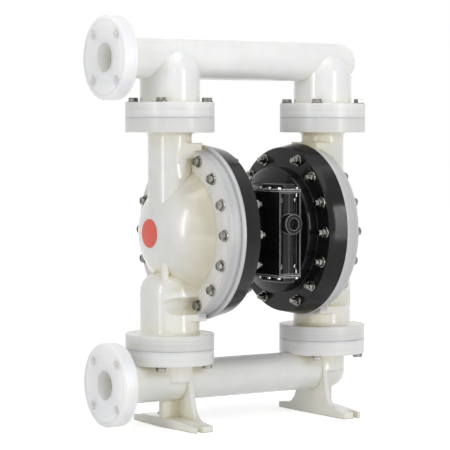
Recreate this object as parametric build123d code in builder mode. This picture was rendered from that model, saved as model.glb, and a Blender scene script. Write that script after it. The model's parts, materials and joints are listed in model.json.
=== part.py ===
from build123d import *
import math
import os

# Air operated diaphragm pump with plastic liquid housings, built as it comes apart on a bench.
# Millimetres. X runs along the manifolds, Y from the front to the back, Z up from the floor.
# The origin lies on the floor, midway between the two valve columns.

# Stance of the pump
column_spacing = 375.0
inlet_axis_height = 92.0
lower_joint_rise = 65.5
cap_height = 460.0
outlet_axis_rise = 115.5

# Clearances
locating_gap = 0.02
running_gap = 0.05
seating_gap = 0.3
hole_gap = 0.6
join_overlap = 1.0
tip_gap = 1.0

# Manifold pipes and their port flanges
pipe_r = 40.0
pipe_bore_r = 28.0
port_overhang = 151.5
port_bore_r = 29.0
port_bore_depth = 45.0
port_flange_r = 82.5
port_flange_t = 30.0
port_flange_edge = 2.0
port_neck_fillet = 6.0
port_bolt_circle_r = 62.5
port_bolt_hole_r = 9.0
port_bolt_count = 4
outlet_end_overhang = 34.5
inlet_end_overhang = 10.5

# Valve joints between the manifolds and the fluid caps
valve_flange_r = 89.0
valve_flange_t = 30.0
valve_flange_edge = 1.5
valve_bolt_circle_r = 75.5
valve_bolt_r = 6.0
valve_bolt_count = 4
insert_r = 8.5
insert_length = 22.0
first_bolt_angle = 45.0

# Check valves: ball, seat ring, squeezed seal ring and guide ribs
ball_r = 31.75
ball_lift = 18.0
seat_r = 48.0
seat_t = 14.0
seat_bore_r = 23.0
seat_edge = 1.2
seal_mean_r = 42.0
seal_width = 5.0
seal_depth = 4.0
seal_corner = 1.6
branch_r = 60.0
branch_bore_r = 50.0
branch_dome_rise = 82.5
branch_fillet = 3.0
cage_rib_t = 7.0
cage_rib_count = 4
cage_gap = 1.2
cage_finger_r = 12.0
cage_finger_t = 8.0
cage_base = 1.0

# Necks of the valve housings
riser_r = 44.0
riser_bore_r = 30.0
riser_fillet = 8.0
riser_foot_drop = 40.0
riser_bridge_top_gap = 20.5
riser_block_t = 32.0
riser_web_half = 30.0
bridge_setback = 18.0
riser_ledge_drop = 54.5
riser_ledge_t = 8.0
riser_ledge_half = 46.0
riser_ledge_reach = 13.5
suction_bridge_gap = 25.5
suction_top_rise = 152.5
suction_top_round = 40.0
suction_bore_rise = 104.5
suction_bore_r = 38.0
suction_neck_r = 48.0
suction_neck_bore_r = 28.0

# Fluid caps
cap_joint_x = 122.0
rim_step = 6.0
rim_lip = 8.0
rim_edge = 2.5
ring_margin = 16.7
ring_t = 36.0
ring_draft = 1.5
ring_edge = 6.0
mouth_margin = 8.0
dome_depth = 77.0
pad_r = 32.0
cap_wall = 14.0
cap_bolt_inset = 8.3
cap_bolt_places = 16
cap_bolt_r = 5.5
socket_r = 17.0
ridge_r = 8.0
ridge_offset = 31.0
ridge_reach = 30.5
ridge_rise = 17.0

# Air caps
air_ring_t = 39.0
air_ring_taper = 8.0
air_boss_margin = 3.0
air_boss_draft = 1.0
air_boss_depth = 24.0
air_cap_wall = 12.0
air_joint_r = 100.0
air_edge = 2.0
air_floor_r = 98.0
air_floor_round = 4.0
air_shoulder_round = 8.0
air_chamber_inset = 1.0
air_gasket_t = 1.0
air_screw_circle_r = 62.0
air_screw_count = 6
air_screw_first_angle = 30.0
air_screw_r = 4.0
air_screw_depth = 20.0

# Centre body with the rod and pilot bores
centre_half_width = 45.0
drum_r = 94.0
drum_flange_t = 10.0
drum_edge = 1.0
drum_root = 2.0
spigot_r = 26.0
rod_r = 11.0
rod_clearance = 1.0
rod_bush_wall = 3.5
rod_bush_length = 26.0
rod_seal_wall = 4.5
rod_seal_length = 6.0
rod_stroke = 20.0
pilot_offset = 44.0
pilot_bore_r = 9.5
pilot_pin_r = 5.0
pilot_piston_half = 17.0
pilot_waist_half = 5.5
pilot_travel = 5.0
pilot_end_gap = 2.0

# Diaphragms and their plates
diaphragm_t = 4.5
diaphragm_roll = 16.0
roll_outer_r = 116.0
roll_width = 32.0
clamp_flat = 12.0
bead_width = 18.0
bead_t = 7.0
inner_plate_t = 10.0
outer_plate_t = 18.0
plate_edge = 3.5
plate_hub_r = 30.0
plate_screw_r = 7.0
plate_screw_grip = 34.0
plate_head_across_flats = 25.5
plate_head_t = 11.0

# Valve block on the front
block_half_width = 25.5
block_front_y = -150.0
block_back_y = -66.0
block_half_height = 83.5
block_gasket_t = 2.0
block_rim = 3.0
block_recess = 11.0
barrel_r = 18.5
barrel_setback = 0.5
sleeve_r = 14.0
sleeve_wall = 4.5
sleeve_window_r = 3.0
sleeve_window_pitch = 16.0
spool_travel = 12.0
spool_waist_r = 6.0
spool_waist_half = 9.5
air_inlet_rise = 19.0
air_inlet_boss_r = 20.3
air_inlet_boss_out = 13.0
air_inlet_r = 12.0
air_inlet_depth = 17.0
air_inlet_throat_r = 8.0
air_inlet_chamfer = 1.0
end_cap_flange_t = 4.0
end_cap_body_t = 11.0
end_cap_body_half = 14.0
end_cap_edge = 4.0
end_cap_spigot = 3.0
end_screw_x = 20.5
end_screw_first_y = 9.0
end_screw_pitch = 33.5
end_screw_rows = 3
end_screw_r = 2.5
end_screw_depth = 12.0
block_screw_x = 18.0
block_screw_z = 66.0
block_screw_r = 2.5
block_screw_grip = 14.0
counterbore_r = 5.0

# Exhaust on the back
exhaust_flat_y = 66.0
exhaust_half_width = 30.0
exhaust_half_height = 55.0
exhaust_cover_t = 24.0
exhaust_cover_edge = 6.0
exhaust_front_round = 3.0
exhaust_boss_r = 24.0
exhaust_boss_t = 8.0
exhaust_screw_inset = 9.0
exhaust_screw_r = 4.0
exhaust_screw_grip = 14.0
exhaust_screw_across_flats = 13.0
exhaust_screw_head_t = 5.2
muffler_neck_r = 13.0
muffler_neck_length = 22.0
muffler_r = 35.0
muffler_length = 100.0
muffler_round = 12.0
muffler_groove = 3.0
muffler_groove_count = 5

# Feet under the inlet manifold
foot_inner_x = 160.0
foot_outer_x = 209.0
foot_half_length = 116.0
foot_end_t = 12.0
foot_mid_t = 19.0
foot_web_t = 11.0
foot_rib_t = 13.0
foot_waist_half = 38.0
foot_bend_half = 60.0
foot_bend_rise = 2.0
foot_bend_r = 40.0
foot_toe_taper = 7.0
foot_slot_width = 12.0
foot_slot_length = 30.0

# Fasteners of the cap ring and of the valve joints
bolt_flange_r = 11.8
bolt_flange_t = 2.5
bolt_across_flats = 16.0
bolt_head_t = 10.0
bolt_tail = 8.0
nut_t = 10.0
valve_bolt_across_flats = 18.0
valve_bolt_head_t = 7.5
washer_r = 12.0
washer_t = 1.6
socket_head_ratio = 1.7
socket_height_ratio = 1.6

# Worked out places
column_x = column_spacing / 2
lower_joint_z = inlet_axis_height + lower_joint_rise
pump_z = lower_joint_z + cap_height / 2
upper_joint_z = lower_joint_z + cap_height
outlet_z = upper_joint_z + outlet_axis_rise
port_face_x = -(column_x + port_overhang)
plate_r = roll_outer_r - roll_width
bead_inner_r = roll_outer_r + clamp_flat
bead_r = bead_inner_r + bead_width
cap_bolt_circle_r = bead_r + cap_bolt_inset
ring_r = cap_bolt_circle_r + ring_margin
rim_r = ring_r + rim_step
air_ring_r = rim_r - air_ring_taper
air_chamber_r = bead_inner_r - air_chamber_inset
air_boss_r = air_chamber_r + air_boss_margin
dome_foot_r = roll_outer_r + mouth_margin
ring_back_x = cap_joint_x + ring_t
pad_x = ring_back_x + dome_depth
dome_centre_x = (pad_x**2 + pad_r**2 - ring_back_x**2 - dome_foot_r**2) / (2 * dome_depth)
dome_r = math.hypot(pad_x - dome_centre_x, pad_r)
chamber_r = dome_r - cap_wall
air_ring_x = cap_joint_x - air_ring_t
air_boss_x = air_ring_x - air_boss_depth
air_floor_x = centre_half_width + air_cap_wall
ball_perch = math.sqrt(ball_r**2 - (seat_bore_r + seat_edge) ** 2) + seating_gap
cage_stop = ball_perch + ball_lift + math.sqrt(ball_r**2 - cage_finger_r**2) + seating_gap
cap_bolt_end_x = air_ring_x - nut_t - bolt_tail
rod_end_x = cap_joint_x - diaphragm_t / 2 - inner_plate_t
pilot_tip_x = rod_end_x - rod_stroke - pilot_travel - seating_gap

# Planes and axes of the two main directions
pump_plane = Plane(origin=(0, 0, pump_z), x_dir=(1, 0, 0), z_dir=(0, -1, 0))
pump_axis = Axis((0, 0, pump_z), (1, 0, 0))


def column_plane(x):
    """Upright plane through a valve column, with its own Z equal to the pump's."""
    return Plane(origin=(x, 0, 0), x_dir=(1, 0, 0), z_dir=(0, -1, 0))


def cross_plane(x):
    """Plane square to the pump's axis, with its origin on that axis."""
    return Plane(origin=(x, 0, pump_z), x_dir=(0, 1, 0), z_dir=(1, 0, 0))


def turned(points, radii, plane, axis, mode=Mode.ADD):
    """Turn a closed outline with rounded corners about an axis, into the part being built."""
    with BuildSketch(plane) as outline:
        with BuildLine():
            FilletPolyline(*points, radius=radii, close=True)
        make_face()
    revolve(outline.sketch, axis=axis, mode=mode)


def about_column(points, radii, x, mode=Mode.ADD):
    """Turn an outline of radius and height about a valve column."""
    turned(points, radii, column_plane(x), Axis((x, 0, 0), (0, 0, 1)), mode)


def about_pump_axis(points, radii, mode=Mode.ADD):
    """Turn an outline of X and radius about the axis of the connecting rod."""
    turned(points, radii, pump_plane, pump_axis, mode)


def circle_points(radius, count, first_angle):
    """Points spaced evenly on a circle."""
    step = 360 / count
    angles = [math.radians(first_angle + step * place) for place in range(count)]
    return [(radius * math.cos(angle), radius * math.sin(angle)) for angle in angles]


def cap_bolt_points():
    """Places of the clamp bolts round a fluid cap, with none behind the valve necks."""
    points = circle_points(cap_bolt_circle_r, cap_bolt_places, 0)
    quarter = cap_bolt_places // 4
    return [point for place, point in enumerate(points) if place % (2 * quarter) != quarter]


def column_points(x):
    """Places of the bolts round a valve joint."""
    points = circle_points(valve_bolt_circle_r, valve_bolt_count, first_bolt_angle)
    return [(x + across, along) for across, along in points]


def pegs(plane, points, radius, length, mode=Mode.ADD):
    """Round bars, or with Mode.SUBTRACT round holes, standing on a plane."""
    with BuildSketch(plane) as ends:
        with Locations(*points):
            Circle(radius)
    extrude(ends.sketch, amount=length, mode=mode)


def hexagons(plane, points, across_flats, height):
    """Six-sided bolt heads or nuts standing on a plane."""
    with BuildSketch(plane) as ends:
        with Locations(*points):
            RegularPolygon(across_flats / 2, 6, major_radius=False)
    extrude(ends.sketch, amount=height)


def add_ball_cage(x, joint_z, wall_r):
    """Ribs that guide a ball above its seat, each with a finger that stops the ball's lift."""
    guide_r = ball_r + cage_gap
    root_r = wall_r + join_overlap
    for across, along in circle_points(1, cage_rib_count, first_bolt_angle):
        rib_plane = Plane(origin=(x, 0, joint_z), x_dir=(across, along, 0), z_dir=(along, -across, 0))
        with BuildSketch(rib_plane) as rib:
            with BuildLine():
                Polyline(
                    (guide_r, cage_base),
                    (root_r, cage_base),
                    (root_r, cage_stop + cage_finger_t),
                    (cage_finger_r, cage_stop + cage_finger_t),
                    (cage_finger_r, cage_stop),
                    (guide_r, cage_stop),
                    close=True,
                )
            make_face()
        extrude(rib.sketch, amount=cage_rib_t / 2, both=True)


def add_pipe(axis_z, end_x):
    """Pipe of a manifold with its port flange on the left and a domed end on the right."""
    flange_back = port_face_x + port_flange_t
    outline = [
        (port_face_x, 0),
        (port_face_x, port_flange_r),
        (flange_back, port_flange_r),
        (flange_back, pipe_r),
        (end_x, pipe_r),
        (end_x, 0),
    ]
    edges = [0, port_flange_edge, port_flange_edge, port_neck_fillet, 0, 0]
    plane = Plane(origin=(0, 0, axis_z), x_dir=(1, 0, 0), z_dir=(0, -1, 0))
    turned(outline, edges, plane, Axis((0, 0, axis_z), (1, 0, 0)))
    with Locations((end_x, 0, axis_z)):
        Sphere(pipe_r)


def bore_pipe(axis_z, end_x):
    """Open a manifold pipe from its port, and drill the port's flange."""
    port_plane = Plane(origin=(port_face_x, 0, axis_z), x_dir=(0, 1, 0), z_dir=(1, 0, 0))
    pegs(port_plane, [(0, 0)], port_bore_r, port_bore_depth, Mode.SUBTRACT)
    pegs(port_plane, [(0, 0)], pipe_bore_r, end_x - port_face_x, Mode.SUBTRACT)
    with Locations((end_x, 0, axis_z)):
        Sphere(pipe_bore_r, mode=Mode.SUBTRACT)
    bolt_points = circle_points(port_bolt_circle_r, port_bolt_count, first_bolt_angle)
    pegs(port_plane, bolt_points, port_bolt_hole_r, port_flange_t, Mode.SUBTRACT)


def make_outlet_manifold():
    """Upper pipe with a domed ball chamber standing over each column."""
    end_x = column_x + outlet_end_overhang
    flange_top = upper_joint_z + valve_flange_t
    dome_z = upper_joint_z + branch_dome_rise
    with BuildPart() as manifold:
        add_pipe(outlet_z, end_x)
        for x in (-column_x, column_x):
            outline = [
                (0, upper_joint_z),
                (valve_flange_r, upper_joint_z),
                (valve_flange_r, flange_top),
                (branch_r, flange_top),
                (branch_r, dome_z),
                (0, dome_z),
            ]
            about_column(outline, [0, valve_flange_edge, valve_flange_edge, branch_fillet, 0, 0], x)
            with Locations((x, 0, dome_z)):
                Sphere(branch_r)
        bore_pipe(outlet_z, end_x)
        for x in (-column_x, column_x):
            joint = Plane.XY.offset(upper_joint_z)
            pegs(joint, [(x, 0)], branch_bore_r, branch_dome_rise, Mode.SUBTRACT)
            with Locations((x, 0, dome_z)):
                Sphere(branch_bore_r, mode=Mode.SUBTRACT)
            pegs(joint, column_points(x), valve_bolt_r + hole_gap, valve_flange_t, Mode.SUBTRACT)
            add_ball_cage(x, upper_joint_z, branch_bore_r)
    return manifold


def add_foot(side):
    """Foot below one column: slotted plate, flared web up to the neck and a rib square to it."""
    inner_x = side * foot_inner_x
    web_top_z = lower_joint_z - valve_flange_t
    half_web = [
        (foot_half_length, 0),
        (foot_half_length, foot_end_t),
        (foot_bend_half, foot_end_t + foot_bend_rise),
        (foot_waist_half, web_top_z),
    ]
    other_half = [(-across, height) for across, height in half_web[::-1]]
    with BuildSketch(Plane.YZ.offset(inner_x)) as web:
        with BuildLine():
            bends = [0, 0, foot_bend_r, 0]
            FilletPolyline(*half_web, *other_half, radius=bends + bends[::-1], close=True)
        make_face()
    extrude(web.sketch, amount=side * foot_web_t)
    plate_width = foot_outer_x - foot_inner_x
    with BuildSketch(Plane.YZ.offset(inner_x)) as plate:
        with BuildLine():
            Polyline(
                (-foot_half_length, foot_end_t),
                (-foot_half_length, 0),
                (foot_half_length, 0),
                (foot_half_length, foot_end_t),
            )
            ThreePointArc((-foot_half_length, foot_end_t), (0, foot_mid_t), (foot_half_length, foot_end_t))
        make_face()
    extrude(plate.sketch, amount=side * plate_width)
    for end in (-1, 1):
        with BuildSketch(Plane.XY) as taper:
            with BuildLine():
                Polyline(
                    (side * foot_outer_x, end * foot_rib_t / 2),
                    (side * foot_outer_x, end * foot_half_length),
                    (side * (foot_outer_x - foot_toe_taper), end * foot_half_length),
                    close=True,
                )
            make_face()
        extrude(taper.sketch, amount=foot_mid_t, mode=Mode.SUBTRACT)
    with BuildSketch(Plane.XZ) as rib:
        with BuildLine():
            Polyline(
                (inner_x, foot_end_t),
                (side * foot_outer_x, foot_end_t),
                (side * foot_outer_x, inlet_axis_height),
                (inner_x, inlet_axis_height),
                close=True,
            )
        make_face()
    extrude(rib.sketch, amount=foot_rib_t / 2, both=True)


def cut_foot_slots(side):
    """Slots for the holding-down bolts, open at both ends of a foot."""
    slot_x = side * (foot_inner_x + foot_web_t + foot_outer_x) / 2
    for end in (-1, 1):
        with BuildSketch(Plane.XY) as slot:
            with Locations((slot_x, end * foot_half_length)):
                SlotOverall(2 * foot_slot_length, foot_slot_width, rotation=90)
        extrude(slot.sketch, amount=foot_mid_t, mode=Mode.SUBTRACT)


def make_inlet_manifold():
    """Lower pipe with a short neck up to each column, standing on its own two feet."""
    end_x = column_x + inlet_end_overhang
    flange_bottom = lower_joint_z - valve_flange_t
    with BuildPart() as manifold:
        for side in (-1, 1):
            add_foot(side)
            cut_foot_slots(side)
        add_pipe(inlet_axis_height, end_x)
        for x in (-column_x, column_x):
            outline = [
                (0, lower_joint_z),
                (valve_flange_r, lower_joint_z),
                (valve_flange_r, flange_bottom),
                (suction_neck_r, flange_bottom),
                (suction_neck_r, inlet_axis_height),
                (0, inlet_axis_height),
            ]
            about_column(outline, [0, valve_flange_edge, valve_flange_edge, 0, 0, 0], x)
        bore_pipe(inlet_axis_height, end_x)
        for x in (-column_x, column_x):
            joint = Plane.XY.offset(lower_joint_z)
            pegs(joint, [(x, 0)], suction_neck_bore_r, -lower_joint_rise, Mode.SUBTRACT)
            pegs(joint, [(x, 0)], seat_r + locating_gap, -seat_t, Mode.SUBTRACT)
            pegs(joint, column_points(x), valve_bolt_r + hole_gap, -valve_flange_t, Mode.SUBTRACT)
    return manifold


def make_fluid_cap():
    """Outer half of the right pumping chamber: bolt ring, dish, outlet riser and suction housing."""
    upper_flange_z = upper_joint_z - valve_flange_t
    lower_flange_z = lower_joint_z + valve_flange_t
    riser_foot_z = pump_z + riser_foot_drop
    suction_top_z = lower_joint_z + suction_top_rise
    suction_bore_z = lower_joint_z + suction_bore_rise
    block_bottom_z = upper_flange_z - riser_bridge_top_gap - riser_block_t
    bridge_root_x = cap_joint_x + bridge_setback
    bridge_length = column_x - bridge_root_x
    bridge_middle_x = column_x - bridge_length / 2
    bridge_bottom_z = lower_flange_z + suction_bridge_gap
    ridge_x = column_x + ridge_reach
    with BuildPart() as cap:
        with BuildSketch(pump_plane) as dish:
            with BuildLine():
                FilletPolyline(
                    (cap_joint_x, 0),
                    (cap_joint_x, rim_r),
                    (cap_joint_x + rim_lip, rim_r),
                    (cap_joint_x + rim_lip, ring_r),
                    (ring_back_x, ring_r - ring_draft),
                    (ring_back_x, dome_foot_r),
                    radius=[0, rim_edge, 0, ring_edge],
                )
                RadiusArc((ring_back_x, dome_foot_r), (pad_x, pad_r), dome_r)
                Polyline((pad_x, pad_r), (pad_x, 0), (cap_joint_x, 0))
            make_face()
        revolve(dish.sketch, axis=pump_axis)
        riser = [
            (0, riser_foot_z),
            (riser_r, riser_foot_z),
            (riser_r, upper_flange_z),
            (valve_flange_r, upper_flange_z),
            (valve_flange_r, upper_joint_z),
            (0, upper_joint_z),
        ]
        riser_edges = [0, 0, riser_fillet, valve_flange_edge, valve_flange_edge, 0]
        about_column(riser, riser_edges, column_x)
        with BuildSketch(Plane.XY.offset(block_bottom_z)) as riser_block:
            with Locations((bridge_middle_x, 0)):
                Rectangle(bridge_length, 2 * riser_r)
        extrude(riser_block.sketch, amount=riser_block_t)
        with BuildSketch(Plane.XY.offset(riser_foot_z)) as riser_web:
            with Locations((bridge_middle_x, 0)):
                Rectangle(bridge_length, 2 * riser_web_half)
        extrude(riser_web.sketch, amount=block_bottom_z - riser_foot_z)
        with BuildSketch(Plane.XY.offset(upper_flange_z - riser_ledge_drop)) as riser_ledge:
            with Locations((column_x, 0)):
                Rectangle(2 * riser_ledge_reach, 2 * riser_ledge_half)
        extrude(riser_ledge.sketch, amount=-riser_ledge_t)
        suction = [
            (0, lower_joint_z),
            (valve_flange_r, lower_joint_z),
            (valve_flange_r, lower_flange_z),
            (branch_r, lower_flange_z),
            (branch_r, suction_top_z),
            (0, suction_top_z),
        ]
        suction_edges = [0, valve_flange_edge, valve_flange_edge, riser_fillet, suction_top_round, 0]
        about_column(suction, suction_edges, column_x)
        with BuildSketch(Plane.YZ.offset(bridge_root_x)) as suction_bridge:
            with BuildLine():
                FilletPolyline(
                    (-branch_r, bridge_bottom_z),
                    (-branch_r, suction_top_z),
                    (branch_r, suction_top_z),
                    (branch_r, bridge_bottom_z),
                    radius=[0, suction_top_round, suction_top_round, 0],
                    close=True,
                )
            make_face()
        extrude(suction_bridge.sketch, amount=bridge_length)
        ridge_top_z = suction_top_z + ridge_rise
        with Locations((ridge_x, -ridge_offset, ridge_top_z)):
            Sphere(ridge_r)
        ridge_foot = Plane.XY.offset(suction_bore_z)
        pegs(ridge_foot, [(ridge_x, -ridge_offset)], ridge_r, ridge_top_z - suction_bore_z)
        with BuildSketch(pump_plane) as chamber:
            with Locations((dome_centre_x, 0)):
                Circle(chamber_r)
            with Locations((cap_joint_x, 0)):
                Rectangle(
                    pad_x - cap_wall - cap_joint_x,
                    chamber_r,
                    align=(Align.MIN, Align.MIN),
                    mode=Mode.INTERSECT,
                )
        revolve(chamber.sketch, axis=pump_axis, mode=Mode.SUBTRACT)
        upper_joint = Plane.XY.offset(upper_joint_z)
        lower_joint = Plane.XY.offset(lower_joint_z)
        pegs(upper_joint, [(column_x, 0)], riser_bore_r, riser_foot_z - upper_joint_z, Mode.SUBTRACT)
        pegs(upper_joint, [(column_x, 0)], seat_r + locating_gap, -seat_t, Mode.SUBTRACT)
        pegs(lower_joint, [(column_x, 0)], suction_bore_r, suction_bore_rise, Mode.SUBTRACT)
        with Locations((column_x, 0, suction_bore_z)):
            Sphere(suction_bore_r, mode=Mode.SUBTRACT)
        pegs(upper_joint, column_points(column_x), insert_r + locating_gap, -insert_length, Mode.SUBTRACT)
        pegs(lower_joint, column_points(column_x), insert_r + locating_gap, insert_length, Mode.SUBTRACT)
        pegs(cross_plane(cap_joint_x), cap_bolt_points(), cap_bolt_r + hole_gap, ring_t, Mode.SUBTRACT)
        pegs(cross_plane(cap_joint_x), [(0, 0)], bead_r + seating_gap, bead_t / 2, Mode.SUBTRACT)
        reach = column_x + branch_r - ring_back_x
        pegs(cross_plane(ring_back_x), cap_bolt_points(), socket_r, reach, Mode.SUBTRACT)
        add_ball_cage(column_x, lower_joint_z, suction_bore_r)
    return cap


def make_air_cap():
    """Inner half of the right pumping chamber, from the bolt ring down to the centre body."""
    gasket_face_x = centre_half_width
    with BuildPart() as cap:
        shell = [
            (gasket_face_x, 0),
            (gasket_face_x, air_joint_r),
            (air_boss_x, air_boss_r - air_boss_draft),
            (air_ring_x, air_boss_r),
            (air_ring_x, air_ring_r),
            (cap_joint_x, rim_r),
            (cap_joint_x, 0),
        ]
        about_pump_axis(shell, [0, 0, air_edge, air_edge, air_edge, 0, 0])
        chamber = [
            (air_floor_x, 0),
            (air_floor_x, air_floor_r),
            (air_boss_x + air_cap_wall, air_boss_r - air_cap_wall),
            (cap_joint_x, air_chamber_r),
            (cap_joint_x, 0),
        ]
        about_pump_axis(chamber, [0, air_floor_round, air_shoulder_round, 0, 0], Mode.SUBTRACT)
        face = cross_plane(cap_joint_x)
        floor = cross_plane(air_floor_x)
        pegs(face, [(0, 0)], bead_r + seating_gap, -bead_t / 2, Mode.SUBTRACT)
        pegs(face, cap_bolt_points(), cap_bolt_r + hole_gap, -air_ring_t, Mode.SUBTRACT)
        pegs(floor, [(0, 0)], spigot_r + locating_gap, -air_cap_wall, Mode.SUBTRACT)
        pegs(floor, [(-pilot_offset, 0)], pilot_bore_r + hole_gap, -air_cap_wall, Mode.SUBTRACT)
        screw_points = circle_points(air_screw_circle_r, air_screw_count, air_screw_first_angle)
        pegs(floor, screw_points, air_screw_r + hole_gap, -air_cap_wall, Mode.SUBTRACT)
    return cap


def make_centre_body():
    """Drum between the air caps, bored for the rod and the pilot, flat on the front and the back."""
    drum_x = centre_half_width - air_gasket_t
    web_x = drum_x - drum_flange_t
    bush_r = rod_r + running_gap + rod_bush_wall
    seal_r = rod_r + rod_seal_wall
    with BuildPart() as body:
        outline = [
            (-air_floor_x, 0),
            (-air_floor_x, spigot_r),
            (-drum_x, spigot_r),
            (-drum_x, air_joint_r),
            (-web_x, air_joint_r),
            (-web_x, drum_r),
            (web_x, drum_r),
            (web_x, air_joint_r),
            (drum_x, air_joint_r),
            (drum_x, spigot_r),
            (air_floor_x, spigot_r),
            (air_floor_x, 0),
        ]
        half_edges = [0, 0, 0, drum_edge, drum_edge, drum_root]
        about_pump_axis(outline, half_edges + half_edges[::-1])
        pad_y = block_back_y + block_gasket_t
        with BuildSketch(Plane.XZ.offset(-pad_y)) as front_pad:
            with Locations((0, pump_z)):
                Rectangle(2 * block_half_width, 2 * block_half_height)
        extrude(front_pad.sketch, amount=pad_y)
        with BuildSketch(Plane.XZ.offset(-pad_y)) as front_flat:
            with Locations((0, pump_z)):
                Rectangle(2 * (block_half_width + seating_gap), 2 * air_joint_r)
        extrude(front_flat.sketch, amount=air_joint_r, mode=Mode.SUBTRACT)
        with BuildSketch(Plane.XZ.offset(-exhaust_flat_y)) as back_flat:
            with Locations((0, pump_z)):
                Rectangle(2 * (exhaust_half_width + seating_gap), 2 * air_joint_r)
        extrude(back_flat.sketch, amount=-air_joint_r, mode=Mode.SUBTRACT)
        for side in (-1, 1):
            end = cross_plane(side * air_floor_x)
            bush_depth = rod_bush_length + rod_seal_length
            pegs(end, [(0, 0)], seal_r + locating_gap, -side * rod_seal_length, Mode.SUBTRACT)
            pegs(end, [(0, 0)], bush_r + locating_gap, -side * bush_depth, Mode.SUBTRACT)
            face = cross_plane(side * drum_x)
            screw_points = circle_points(air_screw_circle_r, air_screw_count, air_screw_first_angle)
            pegs(face, screw_points, air_screw_r + locating_gap, -side * air_screw_depth, Mode.SUBTRACT)
        through = cross_plane(-air_floor_x)
        pegs(through, [(0, 0)], rod_r + rod_clearance, 2 * air_floor_x, Mode.SUBTRACT)
        pegs(through, [(-pilot_offset, 0)], pilot_bore_r, 2 * air_floor_x, Mode.SUBTRACT)
        pad = Plane.XZ.offset(-pad_y)
        pegs(pad, block_screw_points(), block_screw_r + locating_gap, -block_screw_grip, Mode.SUBTRACT)
        rear = Plane.XZ.offset(-exhaust_flat_y)
        pegs(rear, exhaust_screw_points(), exhaust_screw_r + locating_gap, exhaust_screw_grip, Mode.SUBTRACT)
    return body


def block_screw_points():
    """Places of the screws that hold the valve block, in X and Z."""
    return [(x, pump_z + z) for x in (-block_screw_x, block_screw_x) for z in (-block_screw_z, block_screw_z)]


def exhaust_screw_points():
    """Places of the screws at the corners of the exhaust cover, in X and Z."""
    x = exhaust_half_width - exhaust_screw_inset
    z = exhaust_half_height - exhaust_screw_inset
    return [(side * x, pump_z + up * z) for side in (-1, 1) for up in (-1, 1)]


def end_screw_points():
    """Places of the screws round an end cap of the valve block, in X and Y."""
    first_y = block_front_y + end_screw_first_y
    rows = [first_y + end_screw_pitch * row for row in range(end_screw_rows)]
    return [(x, y) for x in (-end_screw_x, end_screw_x) for y in rows]


def make_valve_block():
    """Housing of the main air valve: rimmed front, upright barrel and the air inlet boss."""
    barrel_y = block_front_y + barrel_setback + barrel_r
    inlet_z = pump_z + air_inlet_rise
    boss_y = block_front_y - air_inlet_boss_out
    bottom = Plane.XY.offset(pump_z - block_half_height)
    top = Plane.XY.offset(pump_z + block_half_height)
    height = 2 * block_half_height
    with BuildPart() as block:
        with BuildSketch(Plane.XZ.offset(-block_front_y)) as front:
            with Locations((0, pump_z)):
                Rectangle(2 * block_half_width, height)
        extrude(front.sketch, amount=block_front_y - block_back_y)
        with BuildSketch(Plane.XZ.offset(-block_front_y)) as recess:
            with Locations((0, pump_z)):
                Rectangle(2 * (block_half_width - block_rim), height - 2 * block_rim)
        extrude(recess.sketch, amount=-block_recess, mode=Mode.SUBTRACT)
        pegs(bottom, [(0, barrel_y)], barrel_r, height)
        boss_plane = Plane.XZ.offset(-boss_y)
        pegs(boss_plane, [(0, inlet_z)], air_inlet_boss_r, boss_y - barrel_y)
        boss_rim = block.faces().sort_by(Axis.Y)[0].edges().filter_by(GeomType.CIRCLE)
        chamfer(boss_rim, air_inlet_chamfer)
        pegs(bottom, [(0, barrel_y)], sleeve_r + locating_gap, height, Mode.SUBTRACT)
        pegs(boss_plane, [(0, inlet_z)], air_inlet_r, -air_inlet_depth, Mode.SUBTRACT)
        pegs(boss_plane, [(0, inlet_z)], air_inlet_throat_r, boss_y - barrel_y, Mode.SUBTRACT)
        floor = Plane.XZ.offset(-(block_front_y + block_recess))
        depth = block_back_y - block_front_y - block_recess
        pegs(floor, block_screw_points(), block_screw_r + hole_gap, -depth, Mode.SUBTRACT)
        pegs(floor, block_screw_points(), counterbore_r, block_recess, Mode.SUBTRACT)
        pegs(top, end_screw_points(), end_screw_r + locating_gap, -end_screw_depth, Mode.SUBTRACT)
        pegs(bottom, end_screw_points(), end_screw_r + locating_gap, end_screw_depth, Mode.SUBTRACT)
    return block


def make_end_cap(up):
    """Cap over one end of the valve bore: screwed flange, raised body and a locating spigot."""
    face_z = pump_z + up * block_half_height
    barrel_y = block_front_y + barrel_setback + barrel_r
    middle_y = (block_front_y + block_back_y) / 2
    depth = block_back_y - block_front_y
    face = Plane.XY.offset(face_z)
    with BuildPart() as cap:
        with BuildSketch(face) as flange:
            with Locations((0, middle_y)):
                Rectangle(2 * block_half_width, depth)
        extrude(flange.sketch, amount=up * end_cap_flange_t)
        with BuildSketch(face) as body:
            with Locations((0, middle_y)):
                RectangleRounded(2 * end_cap_body_half, depth - end_cap_edge, end_cap_edge)
        extrude(body.sketch, amount=up * (end_cap_flange_t + end_cap_body_t))
        crown = cap.faces().sort_by(Axis.Z)[-1 if up > 0 else 0]
        fillet(crown.edges(), end_cap_edge)
        pegs(face, [(0, barrel_y)], sleeve_r - seating_gap, -up * end_cap_spigot)
        pegs(face, end_screw_points(), end_screw_r + hole_gap, up * end_cap_flange_t, Mode.SUBTRACT)
    return cap


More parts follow.
